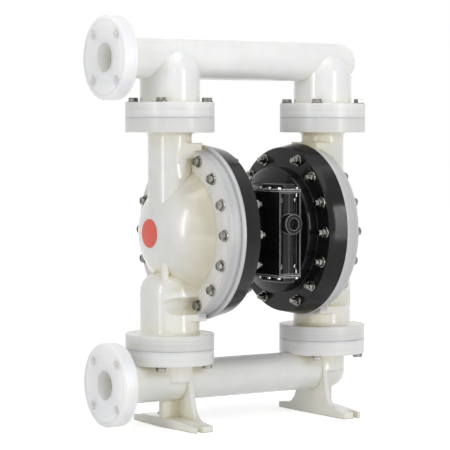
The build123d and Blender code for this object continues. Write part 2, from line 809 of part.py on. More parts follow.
def make_spool_sleeve():
    """Lapped sleeve of the main valve, with three rows of windows."""
    length = 2 * (block_half_height - end_cap_spigot - seating_gap)
    barrel_y = block_front_y + barrel_setback + barrel_r
    bottom = Plane.XY.offset(pump_z - length / 2)
    with BuildPart() as sleeve:
        pegs(bottom, [(0, barrel_y)], sleeve_r, length)
        pegs(bottom, [(0, barrel_y)], sleeve_r - sleeve_wall, length, Mode.SUBTRACT)
        for row in (-1, 0, 1):
            window_z = pump_z + air_inlet_rise + row * sleeve_window_pitch
            for turn in (Plane.XZ, Plane.YZ):
                middle = Plane(origin=(0, barrel_y, window_z), x_dir=turn.x_dir, z_dir=turn.z_dir)
                with BuildSketch(middle) as window:
                    Circle(sleeve_window_r)
                extrude(window.sketch, amount=sleeve_r + join_overlap, both=True, mode=Mode.SUBTRACT)
    return sleeve


def make_valve_spool():
    """Shifting spool of the main valve, resting on the lower end cap."""
    barrel_y = block_front_y + barrel_setback + barrel_r
    land_r = sleeve_r - sleeve_wall - running_gap
    low = pump_z - block_half_height + end_cap_spigot + seating_gap
    high = pump_z + block_half_height - end_cap_spigot - seating_gap - spool_travel
    third = (high - low) / 3
    outline = [(0, low), (land_r, low)]
    for groove in (1, 2):
        middle = low + groove * third
        outline += [
            (land_r, middle - spool_waist_half),
            (spool_waist_r, middle - spool_waist_half),
            (spool_waist_r, middle + spool_waist_half),
            (land_r, middle + spool_waist_half),
        ]
    outline += [(land_r, high), (0, high)]
    with BuildPart() as spool:
        with BuildSketch(Plane(origin=(0, barrel_y, 0), x_dir=(1, 0, 0), z_dir=(0, -1, 0))) as profile:
            with BuildLine():
                Polyline(*outline, close=True)
            make_face()
        revolve(profile.sketch, axis=Axis((0, barrel_y, 0), (0, 0, 1)))
    return spool


def make_block_gasket():
    """Flat gasket between the valve block and the centre body."""
    with BuildPart() as gasket:
        with BuildSketch(Plane.XZ.offset(-block_back_y)):
            block_rectangle = Rectangle(2 * block_half_width, 2 * block_half_height, mode=Mode.PRIVATE)
            add(block_rectangle.moved(Location((0, pump_z))))
            with Locations(*block_screw_points()):
                Circle(block_screw_r + hole_gap, mode=Mode.SUBTRACT)
        extrude(amount=-block_gasket_t)
    return gasket


def cap_screws(plane, points, shank_r, shank_in):
    """Socket head screws: heads out of a plane and shanks into it."""
    pegs(plane, points, socket_head_ratio * shank_r, socket_height_ratio * shank_r)
    pegs(plane, points, shank_r, -shank_in)


def make_block_screws():
    """Screws that hold the valve block to the centre body."""
    seat = Plane.XZ.offset(-(block_front_y + block_recess))
    shank = block_back_y - block_front_y - block_recess + block_gasket_t + block_screw_grip - tip_gap
    with BuildPart() as screws:
        cap_screws(seat, block_screw_points(), block_screw_r, shank)
    return screws


def make_end_screws():
    """Screws of both end caps of the valve block."""
    with BuildPart() as screws:
        for up in (-1, 1):
            z = pump_z + up * (block_half_height + end_cap_flange_t)
            plane = Plane(origin=(0, 0, z), x_dir=(1, 0, 0), z_dir=(0, 0, up))
            points = [(x, up * y) for x, y in end_screw_points()]
            shank = end_cap_flange_t + end_screw_depth - tip_gap
            cap_screws(plane, points, end_screw_r, shank)
    return screws


def make_exhaust_cover():
    """Cover over the exhaust port on the back, with the muffler's threaded boss."""
    cover_y = exhaust_flat_y + exhaust_cover_t
    with BuildPart() as cover:
        with BuildSketch(Plane.XZ.offset(-exhaust_flat_y)) as plate:
            with Locations((0, pump_z)):
                RectangleRounded(2 * exhaust_half_width, 2 * exhaust_half_height, exhaust_cover_edge)
        extrude(plate.sketch, amount=-exhaust_cover_t)
        fillet(cover.faces().sort_by(Axis.Y)[-1].edges(), exhaust_front_round)
        boss = Plane.XZ.offset(-cover_y)
        pegs(boss, [(0, pump_z)], exhaust_boss_r, -exhaust_boss_t)
        depth = exhaust_cover_t + exhaust_boss_t
        back = Plane.XZ.offset(-exhaust_flat_y)
        pegs(back, [(0, pump_z)], muffler_neck_r + locating_gap, -depth, Mode.SUBTRACT)
        pegs(boss, exhaust_screw_points(), exhaust_screw_r + hole_gap, exhaust_cover_t, Mode.SUBTRACT)
    return cover


def make_exhaust_screws():
    """Hexagon screws at the corners of the exhaust cover."""
    face = Plane.XZ.offset(-(exhaust_flat_y + exhaust_cover_t))
    back = Plane(origin=face.origin, x_dir=(-1, 0, 0), z_dir=(0, 1, 0))
    points = exhaust_screw_points()
    with BuildPart() as screws:
        hexagons(back, points, exhaust_screw_across_flats, exhaust_screw_head_t)
        pegs(back, points, exhaust_screw_r, -(exhaust_cover_t + exhaust_screw_grip - tip_gap))
    return screws


def make_muffler():
    """Exhaust muffler: threaded neck and a round grooved can."""
    neck_y = exhaust_flat_y + exhaust_cover_t + exhaust_boss_t - muffler_neck_length
    can_y = exhaust_flat_y + exhaust_cover_t + exhaust_boss_t + seating_gap
    end_y = can_y + muffler_length
    outline = [
        (neck_y, 0),
        (neck_y, muffler_neck_r),
        (can_y, muffler_neck_r),
        (can_y, muffler_r),
        (end_y, muffler_r),
        (end_y, 0),
    ]
    plane = Plane(origin=(0, 0, pump_z), x_dir=(0, 1, 0), z_dir=(1, 0, 0))
    axis = Axis((0, 0, pump_z), (0, 1, 0))
    pitch = muffler_length / (muffler_groove_count + 1)
    with BuildPart() as muffler:
        turned(outline, [0, 0, 0, muffler_round, muffler_round, 0], plane, axis)
        for groove in range(muffler_groove_count):
            low_y = can_y + (groove + 1) * pitch - muffler_groove / 2
            ring = [
                (low_y, muffler_r - muffler_groove),
                (low_y, muffler_r + join_overlap),
                (low_y + muffler_groove, muffler_r + join_overlap),
                (low_y + muffler_groove, muffler_r - muffler_groove),
            ]
            turned(ring, 0, plane, axis, Mode.SUBTRACT)
    return muffler


def make_rod():
    """Connecting rod between the two diaphragms, tapped at both ends."""
    with BuildPart() as rod:
        pegs(cross_plane(-rod_end_x), [(0, 0)], rod_r, 2 * rod_end_x)
        for side in (-1, 1):
            depth = plate_screw_grip - inner_plate_t
            end = cross_plane(side * rod_end_x)
            pegs(end, [(0, 0)], plate_screw_r + locating_gap, -side * depth, Mode.SUBTRACT)
    return rod


def make_rod_bush():
    """Plain bush that carries one end of the connecting rod."""
    outer_r = rod_r + running_gap + rod_bush_wall
    start = cross_plane(air_floor_x - rod_seal_length)
    with BuildPart() as bush:
        pegs(start, [(0, 0)], outer_r, -rod_bush_length)
        pegs(start, [(0, 0)], rod_r + running_gap, -rod_bush_length, Mode.SUBTRACT)
    return bush


def make_rod_seal():
    """Lip seal outside a rod bush."""
    start = cross_plane(air_floor_x)
    with BuildPart() as seal:
        pegs(start, [(0, 0)], rod_r + rod_seal_wall, -rod_seal_length)
        pegs(start, [(0, 0)], rod_r + running_gap, -rod_seal_length, Mode.SUBTRACT)
    return seal


def make_pilot_piston():
    """Small piston of the pilot valve, between the two pins."""
    with BuildPart() as piston:
        outline = [
            (-pilot_piston_half, 0),
            (-pilot_piston_half, pilot_bore_r - running_gap),
            (-pilot_waist_half, pilot_bore_r - running_gap),
            (-pilot_waist_half, pilot_pin_r),
            (pilot_waist_half, pilot_pin_r),
            (pilot_waist_half, pilot_bore_r - running_gap),
            (pilot_piston_half, pilot_bore_r - running_gap),
            (pilot_piston_half, 0),
        ]
        plane = Plane(origin=(0, -pilot_offset, pump_z), x_dir=(1, 0, 0), z_dir=(0, -1, 0))
        turned(outline, 0, plane, Axis((0, -pilot_offset, pump_z), (1, 0, 0)))
    return piston


def make_pilot_pin():
    """Pin that a diaphragm's inner plate pushes at the end of its stroke."""
    with BuildPart() as pin:
        length = pilot_tip_x - pilot_piston_half
        pegs(cross_plane(pilot_piston_half), [(-pilot_offset, 0)], pilot_pin_r, length)
    return pin


def make_pilot_bush():
    """Bush that guides a pilot pin and closes the pilot bore."""
    inner_x = pilot_piston_half + pilot_travel + pilot_end_gap
    start = cross_plane(inner_x)
    length = air_floor_x - inner_x
    with BuildPart() as bush:
        pegs(start, [(-pilot_offset, 0)], pilot_bore_r - locating_gap, length)
        pegs(start, [(-pilot_offset, 0)], pilot_pin_r + running_gap, length, Mode.SUBTRACT)
    return bush


def make_diaphragm():
    """Flexing disc: thick bead clamped between the caps, one rolled wave and a flat middle."""
    mid_r = (plate_r + roll_outer_r) / 2
    half = diaphragm_t / 2
    with BuildPart() as diaphragm:
        with BuildSketch(pump_plane) as section:
            with BuildLine():
                Polyline(
                    (cap_joint_x + half, plate_r),
                    (cap_joint_x + half, plate_screw_r + hole_gap),
                    (cap_joint_x - half, plate_screw_r + hole_gap),
                    (cap_joint_x - half, plate_r),
                )
                ThreePointArc(
                    (cap_joint_x - half, plate_r),
                    (cap_joint_x - half + diaphragm_roll, mid_r),
                    (cap_joint_x - half, roll_outer_r),
                )
                Polyline(
                    (cap_joint_x - half, roll_outer_r),
                    (cap_joint_x - half, bead_inner_r),
                    (cap_joint_x - bead_t / 2, bead_inner_r),
                    (cap_joint_x - bead_t / 2, bead_r),
                    (cap_joint_x + bead_t / 2, bead_r),
                    (cap_joint_x + bead_t / 2, bead_inner_r),
                    (cap_joint_x + half, bead_inner_r),
                    (cap_joint_x + half, roll_outer_r),
                )
                ThreePointArc(
                    (cap_joint_x + half, roll_outer_r),
                    (cap_joint_x + half + diaphragm_roll, mid_r),
                    (cap_joint_x + half, plate_r),
                )
            make_face()
        revolve(section.sketch, axis=pump_axis)
    return diaphragm


def make_inner_plate():
    """Metal backing plate on the air side of a diaphragm."""
    face_x = cap_joint_x - diaphragm_t / 2
    outline = [
        (face_x, plate_screw_r + hole_gap),
        (face_x, plate_r - plate_edge),
        (rod_end_x, plate_r - plate_edge),
        (rod_end_x, plate_screw_r + hole_gap),
    ]
    with BuildPart() as plate:
        about_pump_axis(outline, [0, plate_edge, plate_edge, 0])
    return plate


def make_outer_plate():
    """Plastic cover plate on the liquid side of a diaphragm, coned towards its hub."""
    face_x = cap_joint_x + diaphragm_t / 2
    outline = [
        (face_x, plate_screw_r + hole_gap),
        (face_x, plate_r - plate_edge),
        (face_x + outer_plate_t / 2, plate_r - plate_edge),
        (face_x + outer_plate_t, plate_hub_r),
        (face_x + outer_plate_t, plate_screw_r + hole_gap),
    ]
    with BuildPart() as plate:
        about_pump_axis(outline, [0, plate_edge, plate_edge, plate_edge, 0])
    return plate


def make_plate_screw():
    """Centre screw that clamps a diaphragm between its plates and onto the rod."""
    head_x = cap_joint_x + diaphragm_t / 2 + outer_plate_t
    tip_x = rod_end_x - plate_screw_grip + inner_plate_t + tip_gap
    with BuildPart() as screw:
        pegs(cross_plane(tip_x), [(0, 0)], plate_screw_r, head_x - tip_x)
        hexagons(cross_plane(head_x), [(0, 0)], plate_head_across_flats, plate_head_t)
    return screw


def make_ball(x, joint_z):
    """Check valve ball at rest on its seat."""
    with BuildPart() as ball:
        with Locations((x, 0, joint_z + ball_perch)):
            Sphere(ball_r)
    return ball


def make_seat(x, joint_z):
    """Seat ring let into the lower side of a valve joint."""
    outline = [
        (seat_bore_r, joint_z - seat_t),
        (seat_r, joint_z - seat_t),
        (seat_r, joint_z),
        (seal_mean_r + seal_width / 2, joint_z),
        (seal_mean_r + seal_width / 2, joint_z - seal_depth),
        (seal_mean_r - seal_width / 2, joint_z - seal_depth),
        (seal_mean_r - seal_width / 2, joint_z),
        (seat_bore_r + seat_edge, joint_z),
        (seat_bore_r, joint_z - seat_edge),
    ]
    with BuildPart() as seat:
        about_column(outline, 0, x)
    return seat


def make_seat_seal(x, joint_z):
    """Seal ring squeezed into the groove of a seat."""
    outer_r = seal_mean_r + seal_width / 2
    inner_r = seal_mean_r - seal_width / 2
    outline = [
        (inner_r, joint_z - seal_depth),
        (outer_r, joint_z - seal_depth),
        (outer_r, joint_z),
        (inner_r, joint_z),
    ]
    with BuildPart() as seal:
        about_column(outline, seal_corner, x)
    return seal


def make_air_gasket():
    """Flat ring between an air cap and the centre body."""
    start = cross_plane(centre_half_width)
    with BuildPart() as gasket:
        pegs(start, [(0, 0)], air_joint_r, -air_gasket_t)
        pegs(start, [(0, 0)], spigot_r + seating_gap, -air_gasket_t, Mode.SUBTRACT)
        pegs(start, [(-pilot_offset, 0)], pilot_bore_r + hole_gap, -air_gasket_t, Mode.SUBTRACT)
        screw_points = circle_points(air_screw_circle_r, air_screw_count, air_screw_first_angle)
        pegs(start, screw_points, air_screw_r + hole_gap, -air_gasket_t, Mode.SUBTRACT)
    return gasket


def make_air_cap_screws():
    """Screws from inside both air chambers into the centre body."""
    points = circle_points(air_screw_circle_r, air_screw_count, air_screw_first_angle)
    shank = air_cap_wall + air_gasket_t + air_screw_depth - tip_gap
    with BuildPart() as screws:
        for side in (-1, 1):
            floor = Plane(origin=(side * air_floor_x, 0, pump_z), x_dir=(0, side, 0), z_dir=(side, 0, 0))
            cap_screws(floor, [(side * y, z) for y, z in points], air_screw_r, shank)
    return screws


def make_cap_bolts():
    """Flanged hexagon bolts that clamp the right fluid cap to its air cap."""
    face = cross_plane(ring_back_x)
    points = cap_bolt_points()
    with BuildPart() as bolts:
        pegs(face, points, bolt_flange_r, bolt_flange_t)
        hexagons(face, points, bolt_across_flats, bolt_head_t)
        pegs(face, points, cap_bolt_r, cap_bolt_end_x - ring_back_x)
    return bolts


def make_cap_nuts():
    """Flanged nuts on the inner face of the right air cap."""
    face = cross_plane(air_ring_x)
    points = cap_bolt_points()
    with BuildPart() as nuts:
        pegs(face, points, bolt_flange_r, -bolt_flange_t)
        hexagons(face, points, bolt_across_flats, -nut_t)
        pegs(face, points, cap_bolt_r + locating_gap, -nut_t, Mode.SUBTRACT)
    return nuts


def make_valve_bolts(joint_z, up):
    """Bolts of both valve joints of one manifold, with their heads on the manifold's side."""
    flange_face = Plane.XY.offset(joint_z + up * (valve_flange_t + washer_t))
    shank = valve_flange_t + washer_t + insert_length - tip_gap
    with BuildPart() as bolts:
        for x in (-column_x, column_x):
            hexagons(flange_face, column_points(x), valve_bolt_across_flats, up * valve_bolt_head_t)
            pegs(flange_face, column_points(x), valve_bolt_r, -up * shank)
    return bolts


def make_washers():
    """Washers under the heads of all the valve joint bolts."""
    with BuildPart() as washers:
        for joint_z, up in ((lower_joint_z, -1), (upper_joint_z, 1)):
            face = Plane.XY.offset(joint_z + up * valve_flange_t)
            for x in (-column_x, column_x):
                pegs(face, column_points(x), washer_r, up * washer_t)
                pegs(face, column_points(x), valve_bolt_r + seating_gap, up * washer_t, Mode.SUBTRACT)
    return washers


def make_inserts():
    """Threaded metal inserts in the flanges of the fluid caps."""
    with BuildPart() as inserts:
        for joint_z, up in ((lower_joint_z, 1), (upper_joint_z, -1)):
            face = Plane.XY.offset(joint_z)
            for x in (-column_x, column_x):
                pegs(face, column_points(x), insert_r, up * insert_length)
                pegs(face, column_points(x), valve_bolt_r + locating_gap, up * insert_length, Mode.SUBTRACT)
    return inserts


def mirrored(piece):
    """The left-hand piece that mirrors a right-hand one."""
    with BuildPart() as twin:
        mirror(piece.part, about=Plane.YZ)
    return twin


def write(piece, label):
    """Name a finished piece and write it out."""
    piece.part.label = label
    export_step(piece.part, f"parts/{label}.step")


def write_pair(piece, label):
    """Write a right-hand piece and its mirror image."""
    write(piece, f"{label}_right")
    write(mirrored(piece), f"{label}_left")


os.makedirs("parts", exist_ok=True)

write(make_outlet_manifold(), "outlet_manifold")
write(make_inlet_manifold(), "inlet_manifold")
write_pair(make_fluid_cap(), "fluid_cap")
write_pair(make_air_cap(), "air_cap")
write(make_centre_body(), "centre_body")

write(make_valve_block(), "valve_block")
write(make_end_cap(1), "valve_end_cap_top")
write(make_end_cap(-1), "valve_end_cap_bottom")
write(make_spool_sleeve(), "spool_sleeve")
write(make_valve_spool(), "valve_spool")
write(make_block_gasket(), "valve_block_gasket")
write(make_block_screws(), "valve_block_screws")
write(make_end_screws(), "end_cap_screws")
write(make_exhaust_cover(), "exhaust_cover")
write(make_exhaust_screws(), "exhaust_cover_screws")
write(make_muffler(), "muffler")

write(make_rod(), "connecting_rod")
write_pair(make_rod_bush(), "rod_bush")
write_pair(make_rod_seal(), "rod_seal")
write(make_pilot_piston(), "pilot_piston")
write_pair(make_pilot_pin(), "pilot_pin")
write_pair(make_pilot_bush(), "pilot_bush")
write_pair(make_diaphragm(), "diaphragm")
write_pair(make_inner_plate(), "inner_plate")
write_pair(make_outer_plate(), "outer_plate")
write_pair(make_plate_screw(), "plate_screw")
write_pair(make_air_gasket(), "air_cap_gasket")
write(make_air_cap_screws(), "air_cap_screws")

for valve, joint_height in (("inlet", lower_joint_z), ("outlet", upper_joint_z)):
    for hand, place_x in (("left", -column_x), ("right", column_x)):
        write(make_ball(place_x, joint_height), f"{valve}_ball_{hand}")
        write(make_seat(place_x, joint_height), f"{valve}_seat_{hand}")
        write(make_seat_seal(place_x, joint_height), f"{valve}_seat_seal_{hand}")

write_pair(make_cap_bolts(), "cap_bolts")
write_pair(make_cap_nuts(), "cap_nuts")
write(make_valve_bolts(upper_joint_z, 1), "outlet_bolts")
write(make_valve_bolts(lower_joint_z, -1), "inlet_bolts")
write(make_washers(), "valve_bolt_washers")
write(make_inserts(), "flange_inserts")
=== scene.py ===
"""Looks of the air operated diaphragm pump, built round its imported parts. Metres throughout."""

import json
import math

import bmesh
import bpy
from mathutils import Matrix, Vector


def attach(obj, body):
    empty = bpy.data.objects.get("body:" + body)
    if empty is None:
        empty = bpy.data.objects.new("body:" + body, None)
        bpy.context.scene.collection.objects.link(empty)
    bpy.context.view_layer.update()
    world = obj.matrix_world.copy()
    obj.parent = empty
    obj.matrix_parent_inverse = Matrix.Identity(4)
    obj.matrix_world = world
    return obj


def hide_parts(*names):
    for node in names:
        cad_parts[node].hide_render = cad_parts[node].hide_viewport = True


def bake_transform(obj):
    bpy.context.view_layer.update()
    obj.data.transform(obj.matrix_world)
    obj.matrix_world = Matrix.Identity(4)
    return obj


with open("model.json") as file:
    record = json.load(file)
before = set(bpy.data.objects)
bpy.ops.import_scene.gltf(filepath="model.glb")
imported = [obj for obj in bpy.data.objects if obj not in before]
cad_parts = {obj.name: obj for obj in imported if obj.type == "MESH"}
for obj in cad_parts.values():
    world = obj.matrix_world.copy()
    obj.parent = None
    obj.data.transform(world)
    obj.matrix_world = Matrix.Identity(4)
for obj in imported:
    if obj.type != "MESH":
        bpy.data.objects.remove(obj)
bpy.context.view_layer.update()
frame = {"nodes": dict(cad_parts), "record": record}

# Sizes of the pump that the dressing needs
COLUMN_X = 0.1875
PUMP_Z = 0.3875
HALF_CAP = 0.230
LOWER_JOINT = PUMP_Z - HALF_CAP
UPPER_JOINT = PUMP_Z + HALF_CAP
OUTLET_Z = 0.733
INLET_Z = 0.092
PORT_FACE_X = -0.339
PORT_FLANGE_T = 0.030
VALVE_FLANGE_T = 0.030
CAP_JOINT_X = 0.122
RING_BACK_X = 0.158
DOME_FOOT_R = 0.124
RIM_R = 0.177
PAD_X = 0.235
AIR_RING_X = 0.083
RISER_BLOCK_HALF_Y = 0.0445
RISER_BLOCK_FOOT_RISE = 0.1475

# Bolts and nuts of the cap rings
CAP_BOLT_CIRCLE_R = 0.1543
CAP_BOLT_PLACES = 16
CAP_BOLT_R = 0.0055
CAP_BOLT_FLANGE_R = 0.0118
CAP_BOLT_FLANGE_T = 0.0025
CAP_BOLT_FLANGE_EDGE = 0.0012
CAP_BOLT_FLATS = 0.016
CAP_BOLT_HEAD = 0.010
CAP_BOLT_CHAMFER = 0.0014
CAP_BOLT_DISH_R = 0.0052
CAP_BOLT_DISH_DEPTH = 0.0009
CAP_BOLT_TAIL = 0.008
CAP_BOLT_PITCH = 0.0016
CAP_NUT_GAP = 0.0001

# Bolts and washers of the valve joints
VALVE_BOLT_CIRCLE_R = 0.0755
VALVE_BOLT_COUNT = 4
VALVE_BOLT_FIRST_ANGLE = 45.0
VALVE_BOLT_R = 0.006
VALVE_BOLT_FLATS = 0.018
VALVE_BOLT_HEAD = 0.0075
VALVE_BOLT_CHAMFER = 0.0015
VALVE_BOLT_DISH_R = 0.0062
VALVE_BOLT_DISH_DEPTH = 0.0006
VALVE_BOLT_GRIP = 0.0526
WASHER_R = 0.012
WASHER_HOLE_R = 0.0063
WASHER_T = 0.0016
WASHER_EDGE = 0.0004

# Screws of the valve block, its end caps and the exhaust cover
BLOCK_FRONT_Y = -0.150
BLOCK_RECESS = 0.011
BLOCK_HALF_HEIGHT = 0.0835
END_FLANGE_T = 0.004
END_SCREW_X = 0.0205
END_SCREW_ROWS = (-0.141, -0.1075, -0.074)
END_SCREW_GRIP = 0.015
SMALL_SCREW_R = 0.0025
BLOCK_SCREW_X = 0.018
BLOCK_SCREW_Z = 0.066
BLOCK_SCREW_GRIP = 0.088
EXHAUST_FACE_Y = 0.090
EXHAUST_SCREW_X = 0.021
EXHAUST_SCREW_Z = 0.046
EXHAUST_SCREW_R = 0.004
EXHAUST_SCREW_FLATS = 0.013
EXHAUST_SCREW_HEAD = 0.0052
EXHAUST_SCREW_CHAMFER = 0.001
EXHAUST_SCREW_GRIP = 0.037

# Shares of a socket screw's own radius, and of its head
SOCKET_HEAD_WIDTH = 1.7
SOCKET_HEAD_HEIGHT = 1.6
SOCKET_HEAD_EDGE = 0.1
SOCKET_WIDTH = 0.58
SOCKET_FLOOR = 0.5

# Shares of a thread's radius
THREAD_ROOT = 0.86
THREAD_END_CHAMFER = 0.15

# Diaphragms
DIAPHRAGM_SECTORS = 8

# Air inlet and label
INLET_BOSS_Y = -0.163
INLET_HOLE_Z = 0.4065
INLET_HOLE_R = 0.012
INLET_THREAD_LENGTH = 0.014
INLET_THREAD_PITCH = 0.0018
INLET_THREAD_WALL = 0.0016
INLET_THREAD_GAP = 0.0001
INLET_THREAD_LIFT = 0.0008
LABEL_R = 0.02875
LABEL_T = 0.0007
LABEL_EDGE = 0.0004

# How deep a shank or a head is sunk into its neighbour, and how far a cutting body reaches past a face
SHANK_SINK = 0.0002
HEAD_SINK = 0.0005
CUT_PAST = 0.001

# Points closer than these are taken as one, or as level
WELD_DISTANCE = 0.00001
LEVEL_MARGIN = 1e-6

# Angles in degrees
TURN_PER_COPY = 37.0
PACKED_CREASE = 28
MODELLED_CREASE = 30

# Sides of round bars
HEXAGON_SIDES = 6
SCREW_SIDES = 16
SHANK_SIDES = 20
BORE_SIDES = 24
SCREW_HEAD_SIDES = 28
HOLE_SIDES = 32
FLANGE_SIDES = 40
BLANK_SIDES = 48
INLET_BORE_SIDES = 48
LABEL_SIDES = 96

HOUSING = "housing"

# Sockets of the Mix node, which share their names
MIX_VALUES = (2, 3)
MIX_COLOURS = (6, 7)
MIX_COLOUR_RESULT = 2


# Node trees


def new_group(name, inputs, outputs):
    """Empty shader node group with named number, vector or colour sockets."""
    group = bpy.data.node_groups.new(name, "ShaderNodeTree")
    for label, kind, value in inputs:
        socket = group.interface.new_socket(label, in_out="INPUT", socket_type=f"NodeSocket{kind}")
        if value is not None:
            socket.default_value = value
    for label, kind in outputs:
        group.interface.new_socket(label, in_out="OUTPUT", socket_type=f"NodeSocket{kind}")
    start = group.nodes.new("NodeGroupInput")
    end = group.nodes.new("NodeGroupOutput")
    return group, start, end


def node(tree, kind, **settings):
    """Add a shader node and set its plain properties."""
    made = tree.nodes.new(f"ShaderNode{kind}")
    for name, value in settings.items():
        setattr(made, name, value)
    return made


def feed(tree, target, value):
    """Link a socket to an input, or write a plain value on it."""
    if isinstance(value, bpy.types.NodeSocket):
        tree.links.new(value, target)
    else:
        target.default_value = value


def math_node(tree, operation, first, second=0.0, third=0.0):
    """Result of one Math node."""
    made = node(tree, "Math", operation=operation)
    for place, value in enumerate((first, second, third)):
        feed(tree, made.inputs[place], value)
    return made.outputs[0]


def mix_colour(tree, factor, first, second, blend="MIX"):
    """Colour mixed by a factor from two, each a socket or a plain tone."""
    made = node(tree, "Mix", data_type="RGBA", blend_type=blend)
    feed(tree, made.inputs[0], factor)
    for place, tone in zip(MIX_COLOURS, (first, second)):
        feed(tree, made.inputs[place], (*tone, 1.0) if isinstance(tone, tuple) else tone)
    return made.outputs[MIX_COLOUR_RESULT]


def mix_value(tree, factor, first, second):
    """Number mixed by a factor from two."""
    made = node(tree, "Mix", data_type="FLOAT")
    feed(tree, made.inputs[0], factor)
    for place, value in zip(MIX_VALUES, (first, second)):
        feed(tree, made.inputs[place], value)
    return made.outputs[0]


def spread(tree, value, low, high, new_low=0.0, new_high=1.0):
    """Value stretched from one range to another and held inside it."""
    made = node(tree, "MapRange")
    for place, item in enumerate((value, low, high, new_low, new_high)):
        feed(tree, made.inputs[place], item)
    return made.outputs[0]


def by_mask(tree, mask, outside, inside):
    """Number that goes from its value outside a mask to its value inside it."""
    return spread(tree, mask, 0.0, 1.0, outside, inside)


def wander(tree, mask, least, most, low=0.2, high=0.8):
    """Number that wanders between two limits with a cloudy mask."""
    return spread(tree, mask, low, high, least, most)


def overlap(tree, *masks):
    """Product of masks: one where all of them are one."""
    result = masks[0]
    for mask in masks[1:]:
        result = math_node(tree, "MULTIPLY", result, mask)
    return result


def either(tree, *masks):
    """One where any of the masks is one."""
    result = masks[0]
    for mask in masks[1:]:
        result = math_node(tree, "MAXIMUM", result, mask)
    return result


def length_of(tree, first, second):
    """Distance from an axis, given the two offsets square to it."""
    first_square = math_node(tree, "POWER", first, 2.0)
    second_square = math_node(tree, "POWER", second, 2.0)
    return math_node(tree, "SQRT", math_node(tree, "ADD", first_square, second_square))


def between(tree, value, low, high, edge=0.0006):
    """One inside a range of a value and zero outside, with soft ends."""
    above = spread(tree, value, low - edge, low + edge)
    below = spread(tree, value, high + edge, high - edge)
    return overlap(tree, above, below)


# Effects that several finishes share


def make_mottle_group():
    """Cloudy variation of tone, as moulded or handled surfaces have."""
    group, start, end = new_group(
        "mottle",
        [("Vector", "Vector", None), ("Scale", "Float", 20.0), ("Contrast", "Float", 1.0)],
        [("Mask", "Float")],
    )
    noise = node(group, "TexNoise")
    noise.inputs["Detail"].default_value = 5.0
    noise.inputs["Roughness"].default_value = 0.6
    feed(group, noise.inputs["Vector"], start.outputs["Vector"])
    feed(group, noise.inputs["Scale"], start.outputs["Scale"])
    middle_tone = 0.5
    centred = math_node(group, "SUBTRACT", noise.outputs["Fac"], middle_tone)
    scaled = math_node(group, "MULTIPLY", centred, start.outputs["Contrast"])
    feed(group, end.inputs["Mask"], math_node(group, "ADD", scaled, middle_tone))
    return group


def make_turned_lines_group():
    """Fine tool lines of a turned face or rim, uneven as a lathe leaves them."""
    group, start, end = new_group(
        "turned_lines",
        [("Distance", "Float", 0.0), ("Pitch", "Float", 0.002)],
        [("Height", "Float"), ("Tone", "Float")],
    )
    place = math_node(group, "DIVIDE", start.outputs["Distance"], start.outputs["Pitch"])
    for result, scale, detail in (("Height", 1.0, 3.0), ("Tone", 0.22, 1.0)):
        noise = node(group, "TexNoise", noise_dimensions="1D")
        noise.inputs["Scale"].default_value = scale
        noise.inputs["Detail"].default_value = detail
        feed(group, noise.inputs["W"], place)
        feed(group, end.inputs[result], noise.outputs["Fac"])
    return group


def make_rounded_edges_group():
    """Normal of softly rounded edges, and a mask of where they are."""
    group, start, end = new_group(
        "rounded_edges",
        [("Radius", "Float", 0.0008)],
        [("Normal", "Vector"), ("Edge", "Float")],
    )
    nearly_flat, well_turned = 0.99, 0.85
    rounded = node(group, "Bevel", samples=4)
    feed(group, rounded.inputs["Radius"], start.outputs["Radius"])
    flat = node(group, "NewGeometry")
    dot = node(group, "VectorMath", operation="DOT_PRODUCT")
    feed(group, dot.inputs[0], rounded.outputs["Normal"])
    feed(group, dot.inputs[1], flat.outputs["Normal"])
    feed(group, end.inputs["Normal"], rounded.outputs["Normal"])
    feed(group, end.inputs["Edge"], spread(group, dot.outputs["Value"], nearly_flat, well_turned))
    return group


def make_recess_group():
    """Mask of hollows and inside corners, from occlusion, used for painted glow on the plastics and
    painted shade on the metals.
    """
    group, start, end = new_group(
        "recess",
        [("Reach", "Float", 0.03)],
        [("Mask", "Float")],
    )
    open_sky, deep_corner = 0.92, 0.35
    shade = node(group, "AmbientOcclusion", samples=6)
    feed(group, shade.inputs["Distance"], start.outputs["Reach"])
    feed(group, end.inputs["Mask"], spread(group, shade.outputs["AO"], open_sky, deep_corner))
    return group


mottle = make_mottle_group()
turned_lines = make_turned_lines_group()
rounded_edges = make_rounded_edges_group()
recess = make_recess_group()


def use_group(tree, group, **values):
    """Place a node group in a material with its own values."""
    made = node(tree, "Group", node_tree=group)
    for name, value in values.items():
        feed(tree, made.inputs[name], value)
    return made


def cloudy(tree, place, scale, contrast):
    """Mask of clouds or grain of one size."""
    return use_group(tree, mottle, Vector=place, Scale=scale, Contrast=contrast).outputs["Mask"]


def new_material(name, colour, roughness, metallic=0.0):
    """Material with its shader, and plain values on the shader's sockets."""
    material = bpy.data.materials.new(name)
    material.use_nodes = True
    material.diffuse_color = (*colour, 1.0)
    tree = material.node_tree
    shader = tree.nodes["Principled BSDF"]
    shader.inputs["Base Color"].default_value = (*colour, 1.0)
    shader.inputs["Roughness"].default_value = roughness
    shader.inputs["Metallic"].default_value = metallic
    return material, tree, shader


def object_place(tree):
    """Coordinates of the piece itself."""
    return node(tree, "TexCoord").outputs["Object"]


def add_bump(tree, shader, height, strength, distance, normal=None):
    """Bump from a height, over a given normal."""
    bump = node(tree, "Bump")
    bump.inputs["Strength"].default_value = strength
    bump.inputs["Distance"].default_value = distance
    feed(tree, bump.inputs["Height"], height)
    if normal is not None:
        feed(tree, bump.inputs["Normal"], normal)
    feed(tree, shader.inputs["Normal"], bump.outputs["Normal"])


